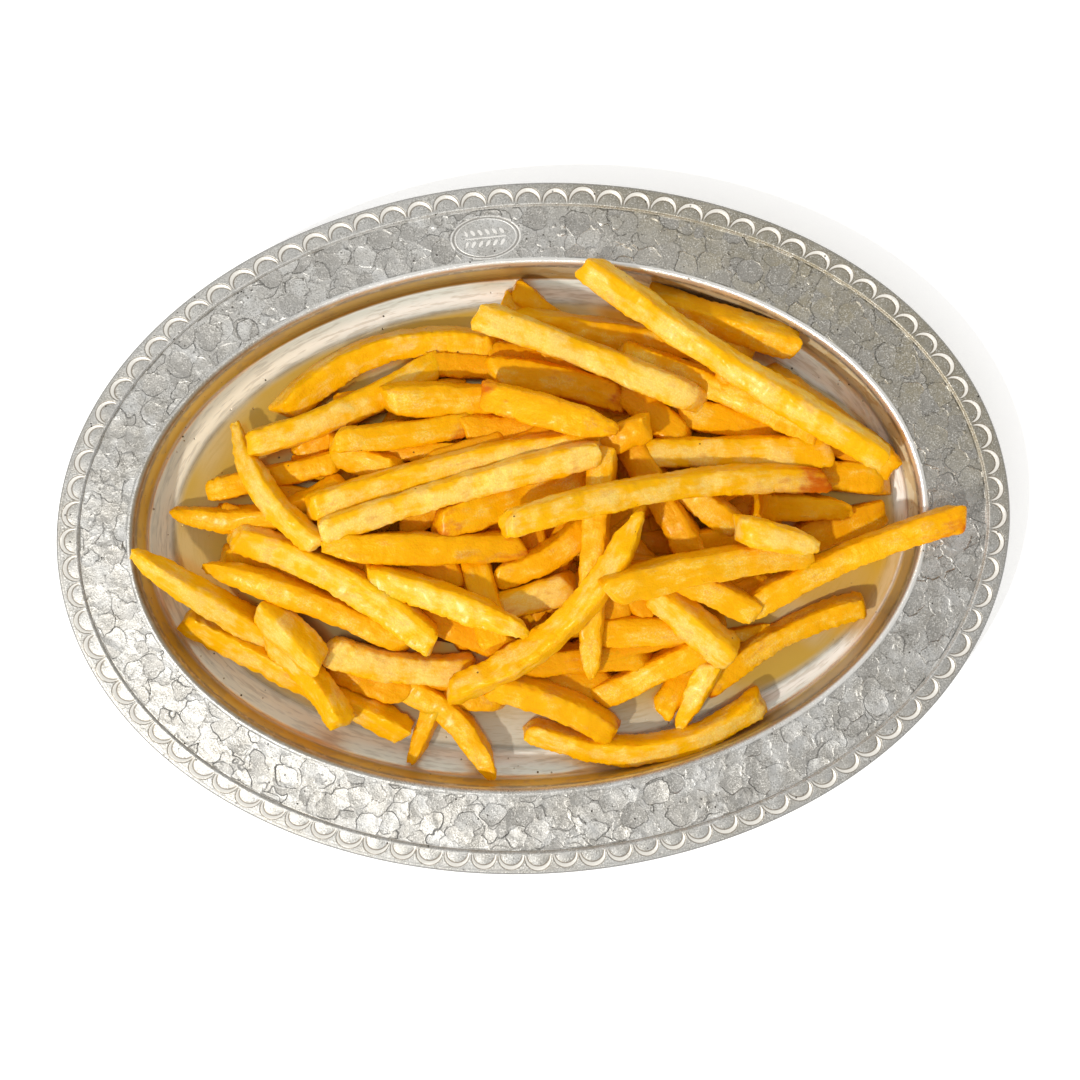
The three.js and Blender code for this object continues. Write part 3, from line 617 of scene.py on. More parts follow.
def hammer_relief(x, y, inset):
    """Overlapping round blows, each flattening what lay under it and leaving a low edge."""
    blows = np.random.default_rng(5)
    angle = even_angles(STRIKES)[0] + blows.uniform(0, 0.05, STRIKES)
    depth = blows.uniform(STEP_AT + 1.2, RIM_WIDTH - 0.4, STRIKES)
    radius = blows.uniform(*STRIKE_RADIUS, STRIKES)
    level = blows.uniform(-0.13, -0.02, STRIKES)
    tilt = blows.normal(0, 0.013, (2, STRIKES))
    stretch = blows.uniform(0.85, 1.18, STRIKES)
    bx, by = oval_point(depth, angle)
    height = np.zeros(x.shape)
    for i in blows.permutation(STRIKES):
        dx, dy = x - bx[i], y - by[i]
        near = (abs(dx) < 5) & (abs(dy) < 5)
        dx, dy = dx[near], dy[near]
        share = np.hypot(dx * stretch[i], dy / stretch[i]) / radius[i]
        dent = level[i] + 0.12 * share**2 + tilt[0, i] * dx + tilt[1, i] * dy
        height[near] += (dent - height[near]) * smoothstep(1.0, 0.78, share)
    fade = smoothstep(STEP_AT + 0.9, STEP_AT + 1.6, inset) * smoothstep(RIM_WIDTH - 0.1, RIM_WIDTH - 0.8, inset)
    return height * fade


def stamp_place(x, y):
    """Place on the stamp: along it and across it in millimetres, and its share of the oval."""
    angle = math.radians(STAMP_ANGLE)
    cx, cy = oval_point(np.array(STAMP_AT), np.array(angle))
    turn = math.atan2((WIDTH / 2) * math.cos(angle), -(LENGTH / 2) * math.sin(angle))
    u = (x - cx) * math.cos(turn) + (y - cy) * math.sin(turn)
    v = -(x - cx) * math.sin(turn) + (y - cy) * math.cos(turn)
    return u, v, np.hypot(u / STAMP_RADII[0], v / STAMP_RADII[1])


def painted_light_and_grease(angle):
    """Round the well: how strongly its wall shows the painted golden reflection of the fries, how bright the painted
    highlight on its roll is, and where the floor's golden grease and painted reflection start.
    """
    lit_side = np.cos(angle - np.radians(LIT_SIDE_TOWARDS)) + 0.05 * np.sin(5 * angle) + 0.03 * np.sin(13 * angle + 1)
    degrees, shifts = np.array(SHORE_SHIFTS).T
    shift = np.interp((np.degrees(angle) + 180) % 360 - 180, degrees, shifts)
    return np.stack([1 - smoothstep(0.5, 0.85, lit_side), smoothstep(-0.2, 0.4, lit_side), shift], -1)


def band(insets, columns):
    angles, girth = even_angles(columns)
    inset = np.repeat(np.asarray(insets, float)[:, None], columns, 1)
    angle = np.repeat(angles[None, :], len(insets), 0)
    run = np.repeat(np.arange(columns)[None, :] * girth / columns, len(insets), 0)
    return inset, angle, run, girth


def zip_rings(fine, coarse):
    """Triangles between a ring of points and one with a whole number of times fewer."""
    faces = []
    ratio = len(fine) // len(coarse)
    for k, a in enumerate(coarse):
        b = coarse[(k + 1) % len(coarse)]
        span = [fine[(ratio * k + i) % len(fine)] for i in range(ratio + 1)]
        half = ratio // 2
        faces += [(span[i], span[i + 1], a) for i in range(half)]
        faces.append((span[half], b, a))
        faces += [(span[i], span[i + 1], b) for i in range(half, ratio)]
    return faces


def platter_bands():
    """Rows of insets, points in a row, and whether the rows are on top, from the edge inwards."""
    border = np.concatenate([[0, 0.12, 0.3, 0.5, 0.75], np.arange(1.05, STEP_AT, 0.33), [STEP_AT + 0.1]])
    beaten = np.concatenate([
        STEP_AT + np.array([0.2, 0.45, 0.6, 0.85, 1.2]),
        np.arange(STEP_AT + 1.65, RIM_WIDTH - 1.1, 0.5),
        RIM_WIDTH + np.array([-0.9, -0.65, -0.4, -0.15, 0.05, 0.3]),
    ])
    wall = RIM_WIDTH + np.array([
        0.5, 0.7, 0.9, 1.05, 1.2, 1.33, 1.45, 1.55, 1.65, 1.9, 2.2, 2.4, 2.65, 3.0, 3.4, 4.2, 5.0, 5.8, 6.9, 7.6,
        8.8,
    ])
    floor = np.linspace(FLOOR_AT + 2, WIDTH / 2 - 0.7, 14)
    under = np.sort([inset for inset, _ in UNDER[1:-1]] + [2, 9, 14, 17, 45, 70, WIDTH / 2 - 0.7])
    return (
        (border, CRESCENTS * 20, True),
        (beaten, CRESCENTS * 10, True),
        (wall, CRESCENTS * 5, True),
        (floor, CRESCENTS * 5 // 2, True),
        (under, CRESCENTS * 5, False),
    )


def platter_mesh():
    points, faces, rings = [], [], []
    values = {"inset": [], "left": [], "grease_and_fry_reflection": [], "painted_shade_lower_right": []}
    vectors = {"punch": [], "stamp": [], "painted_light_and_grease": []}
    start = 0
    for rows, columns, top in platter_bands():
        inset, angle, run, girth = band(rows, columns)
        x, y = oval_point(inset, angle)
        height = profile_height(ROLLED if top else UNDER, inset)
        aside, outwards = punch_place(inset, run, girth)
        u, v, share = stamp_place(x, y)
        if top and rows[0] < STEP_AT:
            height = height + punch_relief(aside, outwards)
        elif top and rows[0] < RIM_WIDTH:
            height = height + hammer_relief(x, y, inset) * smoothstep(0.95, 1.15, share)
        beaten = 0.10 * np.sin(3 * angle + 1) + 0.07 * np.sin(7 * angle) + 0.05 * np.sin(11 * angle + 2)
        settled = smoothstep(24, 29, inset) if top else smoothstep(22, 26, inset)
        height = height + beaten * (1 - settled) * smoothstep(0, 4, inset)
        height = np.maximum(height, 0)
        points.append(np.stack([x, y, height], -1).reshape(-1, 3))
        values["inset"].append(inset.ravel() if top else np.full(inset.size, 1.0))
        # Masks round the ring for the painted light: the left side, a golden patch at the lower right (partly grease,
        # partly painted reflection), painted shade at the lower right, and the shares of painted reflection and
        # highlight round the well.
        values["left"].append(smoothstep(0.2, 0.85, -np.cos(angle - 0.1)).ravel())
        values["grease_and_fry_reflection"].append(smoothstep(0.951, 0.985, np.cos(angle + 0.297)).ravel())
        values["painted_shade_lower_right"].append(smoothstep(0.75, 0.95, np.cos(angle + 0.6)).ravel())
        vectors["painted_light_and_grease"].append(painted_light_and_grease(angle).reshape(-1, 3))
        vectors["punch"].append(np.stack([aside, outwards if top else outwards - 9, 0 * x], -1).reshape(-1, 3))
        vectors["stamp"].append(np.stack([u, v, share if top else share + 9], -1).reshape(-1, 3))
        quads = grid_faces(len(rows), columns, start)
        faces += (quads if top else quads[:, ::-1]).tolist()
        rings.append((start + np.arange(columns), start + (len(rows) - 1) * columns + np.arange(columns)))
        start += len(rows) * columns
    for outer, inner in zip(rings[:3], rings[1:4]):
        faces += zip_rings(outer[1], inner[0])
    faces += [face[::-1] for face in zip_rings(rings[0][0], rings[4][0])]
    faces.append(rings[3][1].tolist())
    faces.append(rings[4][1][::-1].tolist())
    values = {key: np.concatenate(parts) for key, parts in values.items()}
    vectors = {key: np.concatenate(parts) for key, parts in vectors.items()}
    return np.concatenate(points), faces, values, vectors


def platter():
    points, faces, values, vectors = platter_mesh()
    mesh_faces = np.empty(len(faces), object)
    mesh_faces[:] = faces
    piece = make_piece("hammered_platter", points, mesh_faces, metal_material(), values, vectors)
    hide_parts("platter")
    return piece


# ---------------------------------------------------------------- height maps

GRID_X, GRID_Y = np.meshgrid(np.arange(-130, 131), np.arange(-96, 97), indexing="ij")


def read_map(heights, x, y):
    u = np.clip(x - GRID_X[0, 0], 0, heights.shape[0] - 1.001)
    v = np.clip(y - GRID_Y[0, 0], 0, heights.shape[1] - 1.001)
    i, j = u.astype(int), v.astype(int)
    a, b = u - i, v - j
    near = heights[i, j] * (1 - b) + heights[i, j + 1] * b
    far = heights[i + 1, j] * (1 - b) + heights[i + 1, j + 1] * b
    return near * (1 - a) + far * a


def core_top(x, y):
    share = ((x - CORE_CENTRE[0]) / CORE_RADII[0]) ** 2 + ((y - CORE_CENTRE[1]) / CORE_RADII[1]) ** 2
    dome = FLOOR_TOP + CORE_HEIGHT * np.maximum(1 - share, 0) ** CORE_ROUNDNESS
    return np.where(share < 1, dome, -50.0)


metal_map = platter_top(GRID_X.astype(float), GRID_Y.astype(float))
heap_map = core_top(GRID_X, GRID_Y)


# ---------------------------------------------------------------- laying one fry


def route(points, pitch):
    """Places along a smooth line through two or three plan points, and the unit way it points."""
    start, end = np.array(points[0], float), np.array(points[-1], float)
    middle = np.array(points[1], float) if len(points) == 3 else (start + end) / 2
    first, second = np.linalg.norm(middle - start), np.linalg.norm(end - middle)
    m = first / (first + second)
    count = max(round((first + second) / pitch), 3)
    t = np.linspace(0, 1, count + 1)[:, None]
    places = (
        start * (t - m) * (t - 1) / m
        + middle * t * (t - 1) / (m * (m - 1))
        + end * t * (t - m) / (1 - m)
    )
    heading = np.gradient(places, axis=0)
    heading /= np.linalg.norm(heading, axis=1)[:, None]
    return places, heading, t[:, 0] * (first + second)


def across(heading):
    return np.stack([-heading[:, 1], heading[:, 0]], 1)


def solid_section(side, roll):
    half = side / 2
    cut = half * (1 - CHAMFER)
    corners = np.array([
        (half, cut), (cut, half), (-cut, half), (-half, cut),
        (-half, -cut), (-cut, -half), (cut, -half), (half, -cut),
    ])
    c, s = math.cos(math.radians(roll)), math.sin(math.radians(roll))
    return corners @ np.array([[c, s], [-s, c]])


def envelope(corners, steps):
    """Lowest and highest points of a section at even steps across it."""
    reach = corners[:, 0].max() * 0.98
    places = np.linspace(-reach, reach, steps + 1)
    nearby = np.roll(corners, -1, 0)
    low, high = np.full(steps + 1, np.inf), np.full(steps + 1, -np.inf)
    for (u0, v0), (u1, v1) in zip(corners, nearby):
        if u0 == u1:
            continue
        crosses = (u0 - places) * (u1 - places) <= 0
        v = v0 + (v1 - v0) * (places - u0) / (u1 - u0)
        low = np.where(crosses, np.minimum(low, v), low)
        high = np.where(crosses, np.maximum(high, v), high)
    return places, low, high


def settle(points, side, roll):
    """Heights along a fry's centre line when it lies as low as it can on the heap so far."""
    places, heading, distance = route(points, 1.5)
    u, low, _ = envelope(solid_section(side, roll), 8)
    spots = places[:, None, :] + across(heading)[:, None, :] * u[None, :, None]
    need_metal = (read_map(metal_map, spots[..., 0], spots[..., 1]) + PLATE_GAP - low).max(1)
    food = read_map(heap_map, spots[..., 0], spots[..., 1]) - SINK - low
    carried = np.minimum(distance, distance[-1] - distance) >= TIP_FREE
    carries = (np.abs(u) <= INNER_SHARE * u[-1] + 1e-9)[None, :] & carried[:, None]
    need_food = np.where(carries, food, -1e9).max(1)
    least = np.maximum(need_metal, need_food)
    place = distance - distance[-1] / 2
    droop = DROOP * (place[:, None] - place[None, :]) ** 2
    best_cost = np.inf
    for tilt in range(-TILT_LIMIT, TILT_LIMIT + 1):
        slope = math.tan(math.radians(tilt))
        tried = ((least - slope * place)[None, :] - droop).max(1) + slope * place
        cost = tried.mean() + 0.5 * abs(slope)
        if cost < best_cost:
            best_cost, heights = cost, tried
    for _ in range(4):
        heights[1:-1] = (heights[:-2] + 2 * heights[1:-1] + heights[2:]) / 4
    lift = max(0, (need_metal - heights).max(), 0.7 * (need_food - heights).max())
    return heights + lift, distance


def raise_heap(points, side, roll, heights, distance):
    places, heading, fine = route(points, 0.5)
    u, _, high = envelope(solid_section(side, roll), 24)
    solid = np.minimum(fine, fine[-1] - fine) > TIP_OPEN
    middle = np.interp(fine, distance, heights)[solid]
    spots = places[solid][:, None, :] + across(heading)[solid][:, None, :] * (u * BACK_SHARE)[None, :, None]
    tops = middle[:, None] + high[None, :]
    i = np.rint(spots[..., 0] - GRID_X[0, 0]).astype(int)
    j = np.rint(spots[..., 1] - GRID_Y[0, 0]).astype(int)
    inside = (i >= 0) & (j >= 0) & (i < heap_map.shape[0]) & (j < heap_map.shape[1])
    np.maximum.at(heap_map, (i[inside], j[inside]), tops[inside])


# ---------------------------------------------------------------- the form of one fry


def waves(points, size, seed, count=9):
    """Soft random lumps of about this size, between about -1 and 1."""
    draw = np.random.default_rng(seed)
    ways = draw.normal(0, 1, (count, 3))
    ways *= (2 * np.pi / size) * draw.uniform(0.7, 1.3, (count, 1)) / np.linalg.norm(ways, axis=1)[:, None]
    return np.sin(points @ ways.T + draw.uniform(0, 2 * np.pi, count)).sum(1) / math.sqrt(count)


def end_share(kind, distance, blunt):
    """Shares of a fry's breadth and thickness near an end: cut square, or tapering to a tip."""
    if kind == "c":
        rounding = 1 - 0.20 * np.exp(-distance / blunt)
        return rounding, rounding
    breadth = np.interp(distance, [0, 0.5, 2, 6, 14, 20], [0.30, 0.38, 0.52, 0.76, 0.95, 1])
    thickness = np.interp(distance, [0, 0.5, 3, 9, 18], [0.22, 0.30, 0.48, 0.78, 1])
    return breadth, thickness


def fry_form(ends, side, roll, points, heights, distance, seed, step=RING_STEP, face_points=FACE_POINTS):
    """Points, faces and per-point values of one fry."""
    draw = np.random.default_rng(seed)
    places, heading, fine = route(points, step / 3)
    last = len(fine) - 1
    kept = np.r_[0, 1, 2, np.arange(3, last - 2, 3), last - 2, last - 1, last]
    places, heading, fine = places[kept], heading[kept], fine[kept]
    length = fine[-1]
    z = np.interp(fine, distance, heights)

    # The section: points crowd towards the corners of a rounded square with hollow faces.
    sides = 4 * face_points
    across_face = np.arctan(np.sin(np.pi / 2 * np.linspace(-1, 1, face_points, endpoint=False)))
    phi = (across_face[None, :] + np.arange(4)[:, None] * np.pi / 2).ravel()
    c, s = np.cos(phi), np.sin(phi)
    edge = (np.minimum(abs(c), abs(s)) / np.maximum(abs(c), abs(s))) ** 2
    face = np.repeat(np.arange(4), face_points)
    hollow = draw.uniform(0.01, 0.07, 4)[face] * (1 - edge)
    unit = (abs(c) ** SQUARENESS + abs(s) ** SQUARENESS) ** (-1 / SQUARENESS) * (1.02 - hollow)
    # Painted shade: the two side faces are painted darker than the top and bottom faces, over a random tone per face.
    face_tone = (draw.uniform(-0.14, 0.14, 4) + np.array([-0.2, 0.05, -0.2, 0.05]))[face] * (1 - edge)

    flat = draw.uniform(-0.07, 0.07)
    wavy = [1 + 0.055 * np.sin(fine / draw.uniform(5, 11) + draw.uniform(0, 6)) for _ in range(2)]
    blunt, dome = draw.uniform(0.4, 1.8, 2), draw.uniform(0.5, 2.2, 2)
    heads, tails = end_share(ends[0], fine, blunt[0]), end_share(ends[1], length - fine, blunt[1])
    shares = [head * tail for head, tail in zip(heads, tails)]
    breadth = side / 2 * WIDEN * (1 + flat) * wavy[0] * shares[0]
    thickness = side / 2 * WIDEN * (1 - flat) * wavy[1] * shares[1]
    turn = np.radians(roll + draw.uniform(-12, 12) * (fine / length - 0.5))
    slant = np.tan(np.radians(draw.uniform(-26, 26, 4)))
    first, final = np.exp(-fine / 3.5), np.exp(-(length - fine) / 3.5)
    broken = [
        draw.uniform(0.1, 0.7) * np.sin(2 * phi + draw.uniform(0, 6)) + 0.3 * np.sin(3 * phi + draw.uniform(0, 6))
        for _ in range(2)
    ]

    # Rings: how far each stands out past the end and its scale; the cut faces close the ends.
    caps = [(0.38, 0), (0.36, 0.4), (0.30, 0.68), (0.18, 0.88)]
    layout = [(0, -out * dome[0], scale) for out, scale in caps]
    layout += [(k, 0, 1) for k in range(len(fine))]
    layout += [(len(fine) - 1, out * dome[1], scale) for out, scale in reversed(caps)]
    rings, local, edges = [], [], []
    for k, out, scale in layout:
        u = unit * c * breadth[k] * max(scale, 0.01)
        v = unit * s * thickness[k] * max(scale, 0.01)
        slip = (slant[0] * u + slant[1] * v + broken[0] * scale**2) * first[k]
        slip += (slant[2] * u + slant[3] * v + broken[1] * scale**2) * final[k] + out
        a, b = math.cos(turn[k]), math.sin(turn[k])
        turned_u, turned_v = u * a - v * b, u * b + v * a
        plan = places[k] + heading[k] * slip[:, None] + across(heading[k : k + 1])[0] * turned_u[:, None]
        rings.append(np.column_stack([plan, z[k] + turned_v]))
        local.append(np.stack([fine[k] + slip, u, v], 1))
        rim = math.exp(-min(fine[k], length - fine[k]) / 0.8) * scale**3
        edges.append(np.maximum(edge * scale**3, rim))
    spots = np.concatenate(rings)
    local = np.concatenate(local)
    outward = spots - np.repeat([ring.mean(0) for ring in rings], sides, 0)
    outward /= np.maximum(np.linalg.norm(outward, axis=1)[:, None], 0.4)
    along = np.repeat([fine[k] for k, _, _ in layout], sides)
    corner = np.tile(edge, len(rings))
    ragged = 1 + 1.2 * np.exp(-np.minimum(along, length - along) / 3)
    lumps = 0.15 * waves(local, 7, seed + 1) + 0.07 * waves(local, 2.8, seed + 2) * ragged
    lumps += 0.13 * waves(local * (0.3, 1, 1), 3.6, seed + 4)
    lumps += 0.11 * (0.3 + corner) * waves(local, 1.7, seed + 3) * ragged
    spots = spots + outward * lumps[:, None]
    tones = np.tile(face_tone, len(rings))
    faces = grid_faces(len(rings), sides)
    return spots, faces, local + draw.uniform(0, 400, 3), np.concatenate(edges), along, tones


# ---------------------------------------------------------------- the heap

# Laid from the bottom up: ends (c cut, t tapered), side, roll in degrees, paleness, browning of the
# first and last end, then the plan of the centre line.
FRIES = [
    ('cc', 7, 10, 0.3, 0, 0, (-55.5, -33.5), (-37, -41)),
    ('cc', 7, 5, 0.3, 0, 0, (-7, -39.5), (18.5, -42.5)),
    ('cc', 6.5, 10, 0.4, 0, 0, (-25.5, -41), (-10.5, -45)),
    ('cc', 7, 15, 0.35, 0, 0, (-4.5, -35), (28.5, -34.5)),
    ('cc', 6.5, 10, 0.2, 0, 0, (14, -22), (24.5, -21)),
    ('cc', 6.5, 10, 0.3, 0, 0, (24, -23), (34, -19)),
    ('cc', 7, 5, 0.1, 0, 0, (-53.5, -4), (-19, -10.5)),
    ('cc', 8, 10, 0.15, 0, 0, (-34.5, -18), (-7.5, -31)),
    ('cc', 6.5, 10, 0.4, 0, 0, (-82.5, -2.5), (-59, -10)),
    ('cc', 5.2, 10, 0.5, 0, 0, (-61.5, 23), (-46, 30)),
    ('cc', 7, 5, 0.2, 0, 0, (-26, 45.5), (-6.5, 43)),
    ('cc', 6.5, 5, 0.2, 0, 0, (-7.5, 47), (17, 43)),
    ('cc', 7.5, 10, 0.2, 0, 0, (42.5, -14), (51.5, -22.5)),
    ('cc', 7, 10, 0.2, 0, 0, (49.5, -21), (61.5, -16.5)),
    ('cc', 6.5, 10, 0.2, 0, 0, (40.5, -7), (62.5, -4)),
    ('tc', 6.6, 20, 0.5, 0, 0, (-95, 10), (-81.5, 7), (-48.5, 14.5)),
    ('cc', 6, 5, 0.5, 0, 0, (-85, 15), (-50.5, 20.5)),
    ('tc', 7, 15, 0.6, 0, 0, (-86.5, -5), (-61.5, -14.5), (-34.5, -28.5)),
    ('cc', 6.5, 35, 0.68, 0, 0, (-93, -18.5), (-37, -51.5)),
    ('cc', 7, 25, 0.65, 0, 0, (-64, 34.5), (-36, 50), (-7, 48.5)),
    ('cc', 7, 25, 0.6, 0, 0, (-52, 24.5), (-34, 16.5)),
    ('cc', 5.2, 5, 0.3, 0, 0, (-38, 22.5), (-15, 20.5)),
    ('cc', 7, 10, 0.3, 0, 0, (-15.5, 27), (13.5, 24)),
    ('cc', 8, 5, 0.15, 0, 0, (25.5, 36.5), (40.5, 20.5)),
    ('cc', 8, 5, 0.4, 0, 0, (41, 28.5), (71.5, 20)),
    ('cc', 8, 10, 0.7, 0, 0, (-13, -20), (10, -15.5)),
    ('cc', 7.4, 5, 0.45, 0, 0, (-16, -5.5), (-11.5, -28.5)),
    ('cc', 7.8, 8, 0.55, 0, 0, (15, -28), (40.5, -28.5)),
    ('cc', 6.5, 10, 0.4, 0, 0, (41, -37), (31.5, -49.5)),
    ('cc', 7.5, 10, 0.3, 0, 0, (71, -6.5), (92.5, -1)),
    ('ct', 7.4, 20, 0.4, 0, 0, (59, 3.5), (83.5, 0)),
    ('cc', 7.8, 3, 0.4, 0, 0, (71, 11), (93.5, 7.5)),
    ('cc', 6.2, 10, 0.35, 0, 0, (-34, 2.5), (-17, 10.5)),
    ('cc', 6.2, 5, 0.4, 0, 0, (-1, 64), (9, 54)),
    ('cc', 4.8, 10, 0.6, 0, 0, (-4, 62), (3.5, 52)),
    ('tc', 6.8, 35, 0.7, 0, 0, (-104, -0.5), (-70, -25.5)),
    ('cc', 7.4, 3, 0.7, 0, 0, (-72.5, 26.5), (-47.5, 33.5), (-23.5, 44.5)),
    ('cc', 6.8, 10, 0.6, 0, 0.4, (-50, 26), (-33, 26.5), (-16, 28.5)),
    ('cc', 6.8, 15, 0.65, 0, 0, (-58, 8.5), (-20.5, 17.5), (19.5, 22)),
    ('tc', 7.4, 8, 0.45, 0, 0.4, (-54.5, -1.5), (-29.5, -3.5), (-3.5, -4)),
    ('cc', 7.8, 15, 0.55, 0, 0, (-1.5, 54), (61, 43.5)),
    ('cc', 7.4, 25, 0.5, 0, 0, (62.5, 38.5), (95.5, 11)),
    ('cc', 7, 40, 0.6, 0, 0, (34.5, 59), (71, 44)),
    ('cc', 7.5, 20, 0.6, 0, 0, (40.5, 8.5), (53, -3)),
    ('cc', 7.5, 20, 0.35, 0, 0, (25, 25), (42, -10.5)),
    ('cc', 7, 10, 0.5, 0, 0.6, (55.5, -23.5), (81.5, -12), (110.5, -3.5)),
    ('cc', 6.3, 20, 0.6, 0.6, 0, (42, -45.5), (64.5, -31.5), (86, -25)),
    ('ct', 5.6, 15, 0.6, 0, 0, (-28, -44), (-36, -60)),
    ('cc', 6.8, 15, 0.4, 0, 0, (-10, -11.5), (3.5, -7.5), (15, 1)),
    ('cc', 6.5, 10, 0.3, 0, 0, (16, 19.5), (31, 24.5)),
    ('cc', 6.3, 25, 0.65, 0, 0, (-4, -52.5), (23.5, -60), (57.5, -48.5)),
    ('cc', 6.2, 38, 0.65, 0, 0, (-72, -24.5), (-61.5, -34), (-53, -48)),
    ('tc', 6, 20, 0.75, 0, 0, (-77, 32), (-71, 16), (-56, -0.5)),
    ('cc', 7.4, 10, 0.4, 0.5, 0, (-24.5, 2.5), (16, 13.5)),
    ('ct', 6.6, 15, 0.6, 0, 0, (-38, -39), (-23.5, -49), (-15, -65)),
    ('cc', 7, 10, 0.55, 0, 0, (13.5, -46), (43, -33.5)),
    ('cc', 8.2, 10, 0.55, 0, 0, (-36.5, 36), (-5, 34)),
    ('cc', 7.4, 10, 0.4, 0, 0.5, (-9, 42), (9, 38.5), (25, 33)),
    ('cc', 7.4, 15, 0.6, 0, 0, (25, 45), (45.5, 36.5), (76, 20.5)),
    ('ct', 5, 10, 0.5, 0, 0, (48, -32.5), (60.5, -29.5)),
    ('cc', 7.2, 15, 0.6, 0, 0, (37, -14), (56, -25)),
    ('cc', 7, 25, 0.6, 0, 0.5, (-13, -40), (3, -45.5), (18, -55)),
    ('ct', 6.4, 10, 0.6, 0, 0, (19.5, 19), (15, -9), (13, -39.5)),
    ('cc', 7.9, 8, 0.65, 0, 0.2, (30.5, 18), (78, 16)),
    ('cc', 7.4, 40, 0.8, 0, 0, (-72, -16.5), (-57.5, -31.5)),
    ('cc', 7.4, 15, 0.7, 0, 0, (-79, 2.5), (-54.5, -8), (-27.5, -28)),
    ('cc', 6.8, 15, 0.88, 0, 0, (-55, 2), (-20.5, 11), (18, 18.5)),
    ('ct', 7.6, 10, 0.4, 0.55, 0.3, (-11, 35.5), (22.5, 23.5)),
    ('cc', 7, 15, 0.75, 0, 0.9, (-7, 1), (33, 8.5), (77, 9)),
    ('tc', 6.8, 20, 0.65, 0, 0, (27, 2), (13.5, -18.5), (-24, -41)),
    ('ct', 7, 15, 0.64, 0, 0, (-43.5, -9.5), (-22.5, -17.5), (-3, -26.5)),
    ('cc', 7.2, 12, 0.85, 0, 0, (-56, -28.5), (-37, -34.5), (-19, -36)),
    ('ct', 6.6, 12, 0.75, 0, 0, (45, -37), (35.5, -54.5)),
    ('cc', 7.4, 38, 0.7, 0, 0, (30.5, -17.5), (50, -36.5)),
    ('cc', 7.4, 15, 0.6, 0, 0, (18, -17), (42, -12.5), (71.5, -10.5)),
    ('ct', 8.2, 10, 0.85, 0, 0, (52.5, -3), (72.5, -9)),
    ('cc', 7.5, 12, 0.9, 0, 0, (-10, 56), (19.5, 43), (45, 30.5)),
    ('cc', 7.2, 25, 0.75, 0, 0, (18, 67), (54, 39), (91.5, 13)),
]


def hidden_fries():
    """Seeded fries that fill the heap from the metal up, wherever the ones that show cover them."""
    draw = np.random.default_rng(21)
    rows = []
    for _ in range(6000):
        middle = CORE_CENTRE + CORE_RADII * draw.uniform(-1.3, 1.3, 2)
        angle = math.radians(draw.normal(0, 30)) if draw.random() < 0.7 else draw.uniform(0, math.pi)
        half = draw.uniform(9, 26)
        way = np.array([math.cos(angle), math.sin(angle)])
        side = draw.uniform(6, 7.6)
        ends = [middle - way * half, middle + way * half]
        places, heading, distance = route(ends, 1.5)
        aside = across(heading) * side * 0.5
        ground = max(read_map(metal_map, *(places + k * aside).T).max() for k in (-1, 0, 1))
        middle_height = ground + PLATE_GAP + side * 0.55 + draw.choice([0, 0, 5, 10])
        cover = read_map(heap_map, *places.T) - middle_height - side / 2
        if min(cover[0], cover[-1]) > 0.6 and cover.min() > -1.2 and np.mean(cover > 0.6) > 0.7:
            heights = np.full(len(places), middle_height)
            rows.append((ends, side, draw.uniform(-12, 12), heights, distance))
        if len(rows) == HIDDEN_FRIES:
            break
    return rows


class Batch:
    """Fries of one kind, gathered into one mesh."""

    def __init__(self):
        self.points, self.faces, self.locals, self.edges, self.tones, self.browns = [], [], [], [], [], []
        self.count = 0

    def add(self, form, tone, browning):
        points, faces, local, edge, along, tones = form
        self.points.append(points)
        self.faces.append(faces + self.count)
        self.locals.append(local)
        self.edges.append(edge)
        self.tones.append(tone + tones)
        start, end = browning
        length = along.max()
        self.browns.append(start * np.exp(-along / 7) + end * np.exp(-(length - along) / 7))
        self.count += len(points)

    def piece(self, name, material):
        values = {
            "tone": np.concatenate(self.tones),
            "edge": np.concatenate(self.edges),
            "brown": np.concatenate(self.browns),
        }
        vectors = {"local": np.concatenate(self.locals)}
        made = make_piece(name, np.concatenate(self.points), np.concatenate(self.faces), material, values, vectors)
        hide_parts("fries")
        return made


def core_piece():
    """A dark sheet inside the heap: painted shade for its depths, which shows only through gaps."""
    shares = np.linspace(0, 1, 24)
    angles = np.linspace(0, 2 * np.pi, 96, endpoint=False)
    share, angle = np.meshgrid(shares, angles, indexing="ij")
    x = CORE_CENTRE[0] + (CORE_RADII[0] - 9) * share * np.cos(angle)
    y = CORE_CENTRE[1] + (CORE_RADII[1] - 9) * share * np.sin(angle)
    lumps = np.stack([x, y, 0 * x], -1).reshape(-1, 3)
    z = core_top(x, y) - HIDDEN_DROP + 0.6 * waves(lumps, 9, 3).reshape(x.shape)
    base = FLOOR_TOP + PLATE_GAP
    z = np.where(share < 1, np.maximum(z, base), base)
    points = np.stack([x, y, z], -1).reshape(-1, 3)
    faces = grid_faces(len(shares), len(angles))[:, ::-1].tolist()
    faces.append(list(range(len(points) - len(angles), len(points))))
    whole = np.empty(len(faces), object)
    whole[:] = faces
    made = make_piece("heap_shade_core", points, whole, plain_material("heap_shade_core", (0.16, 0.055, 0.004), 0.7))
    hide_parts("fries")
    return made


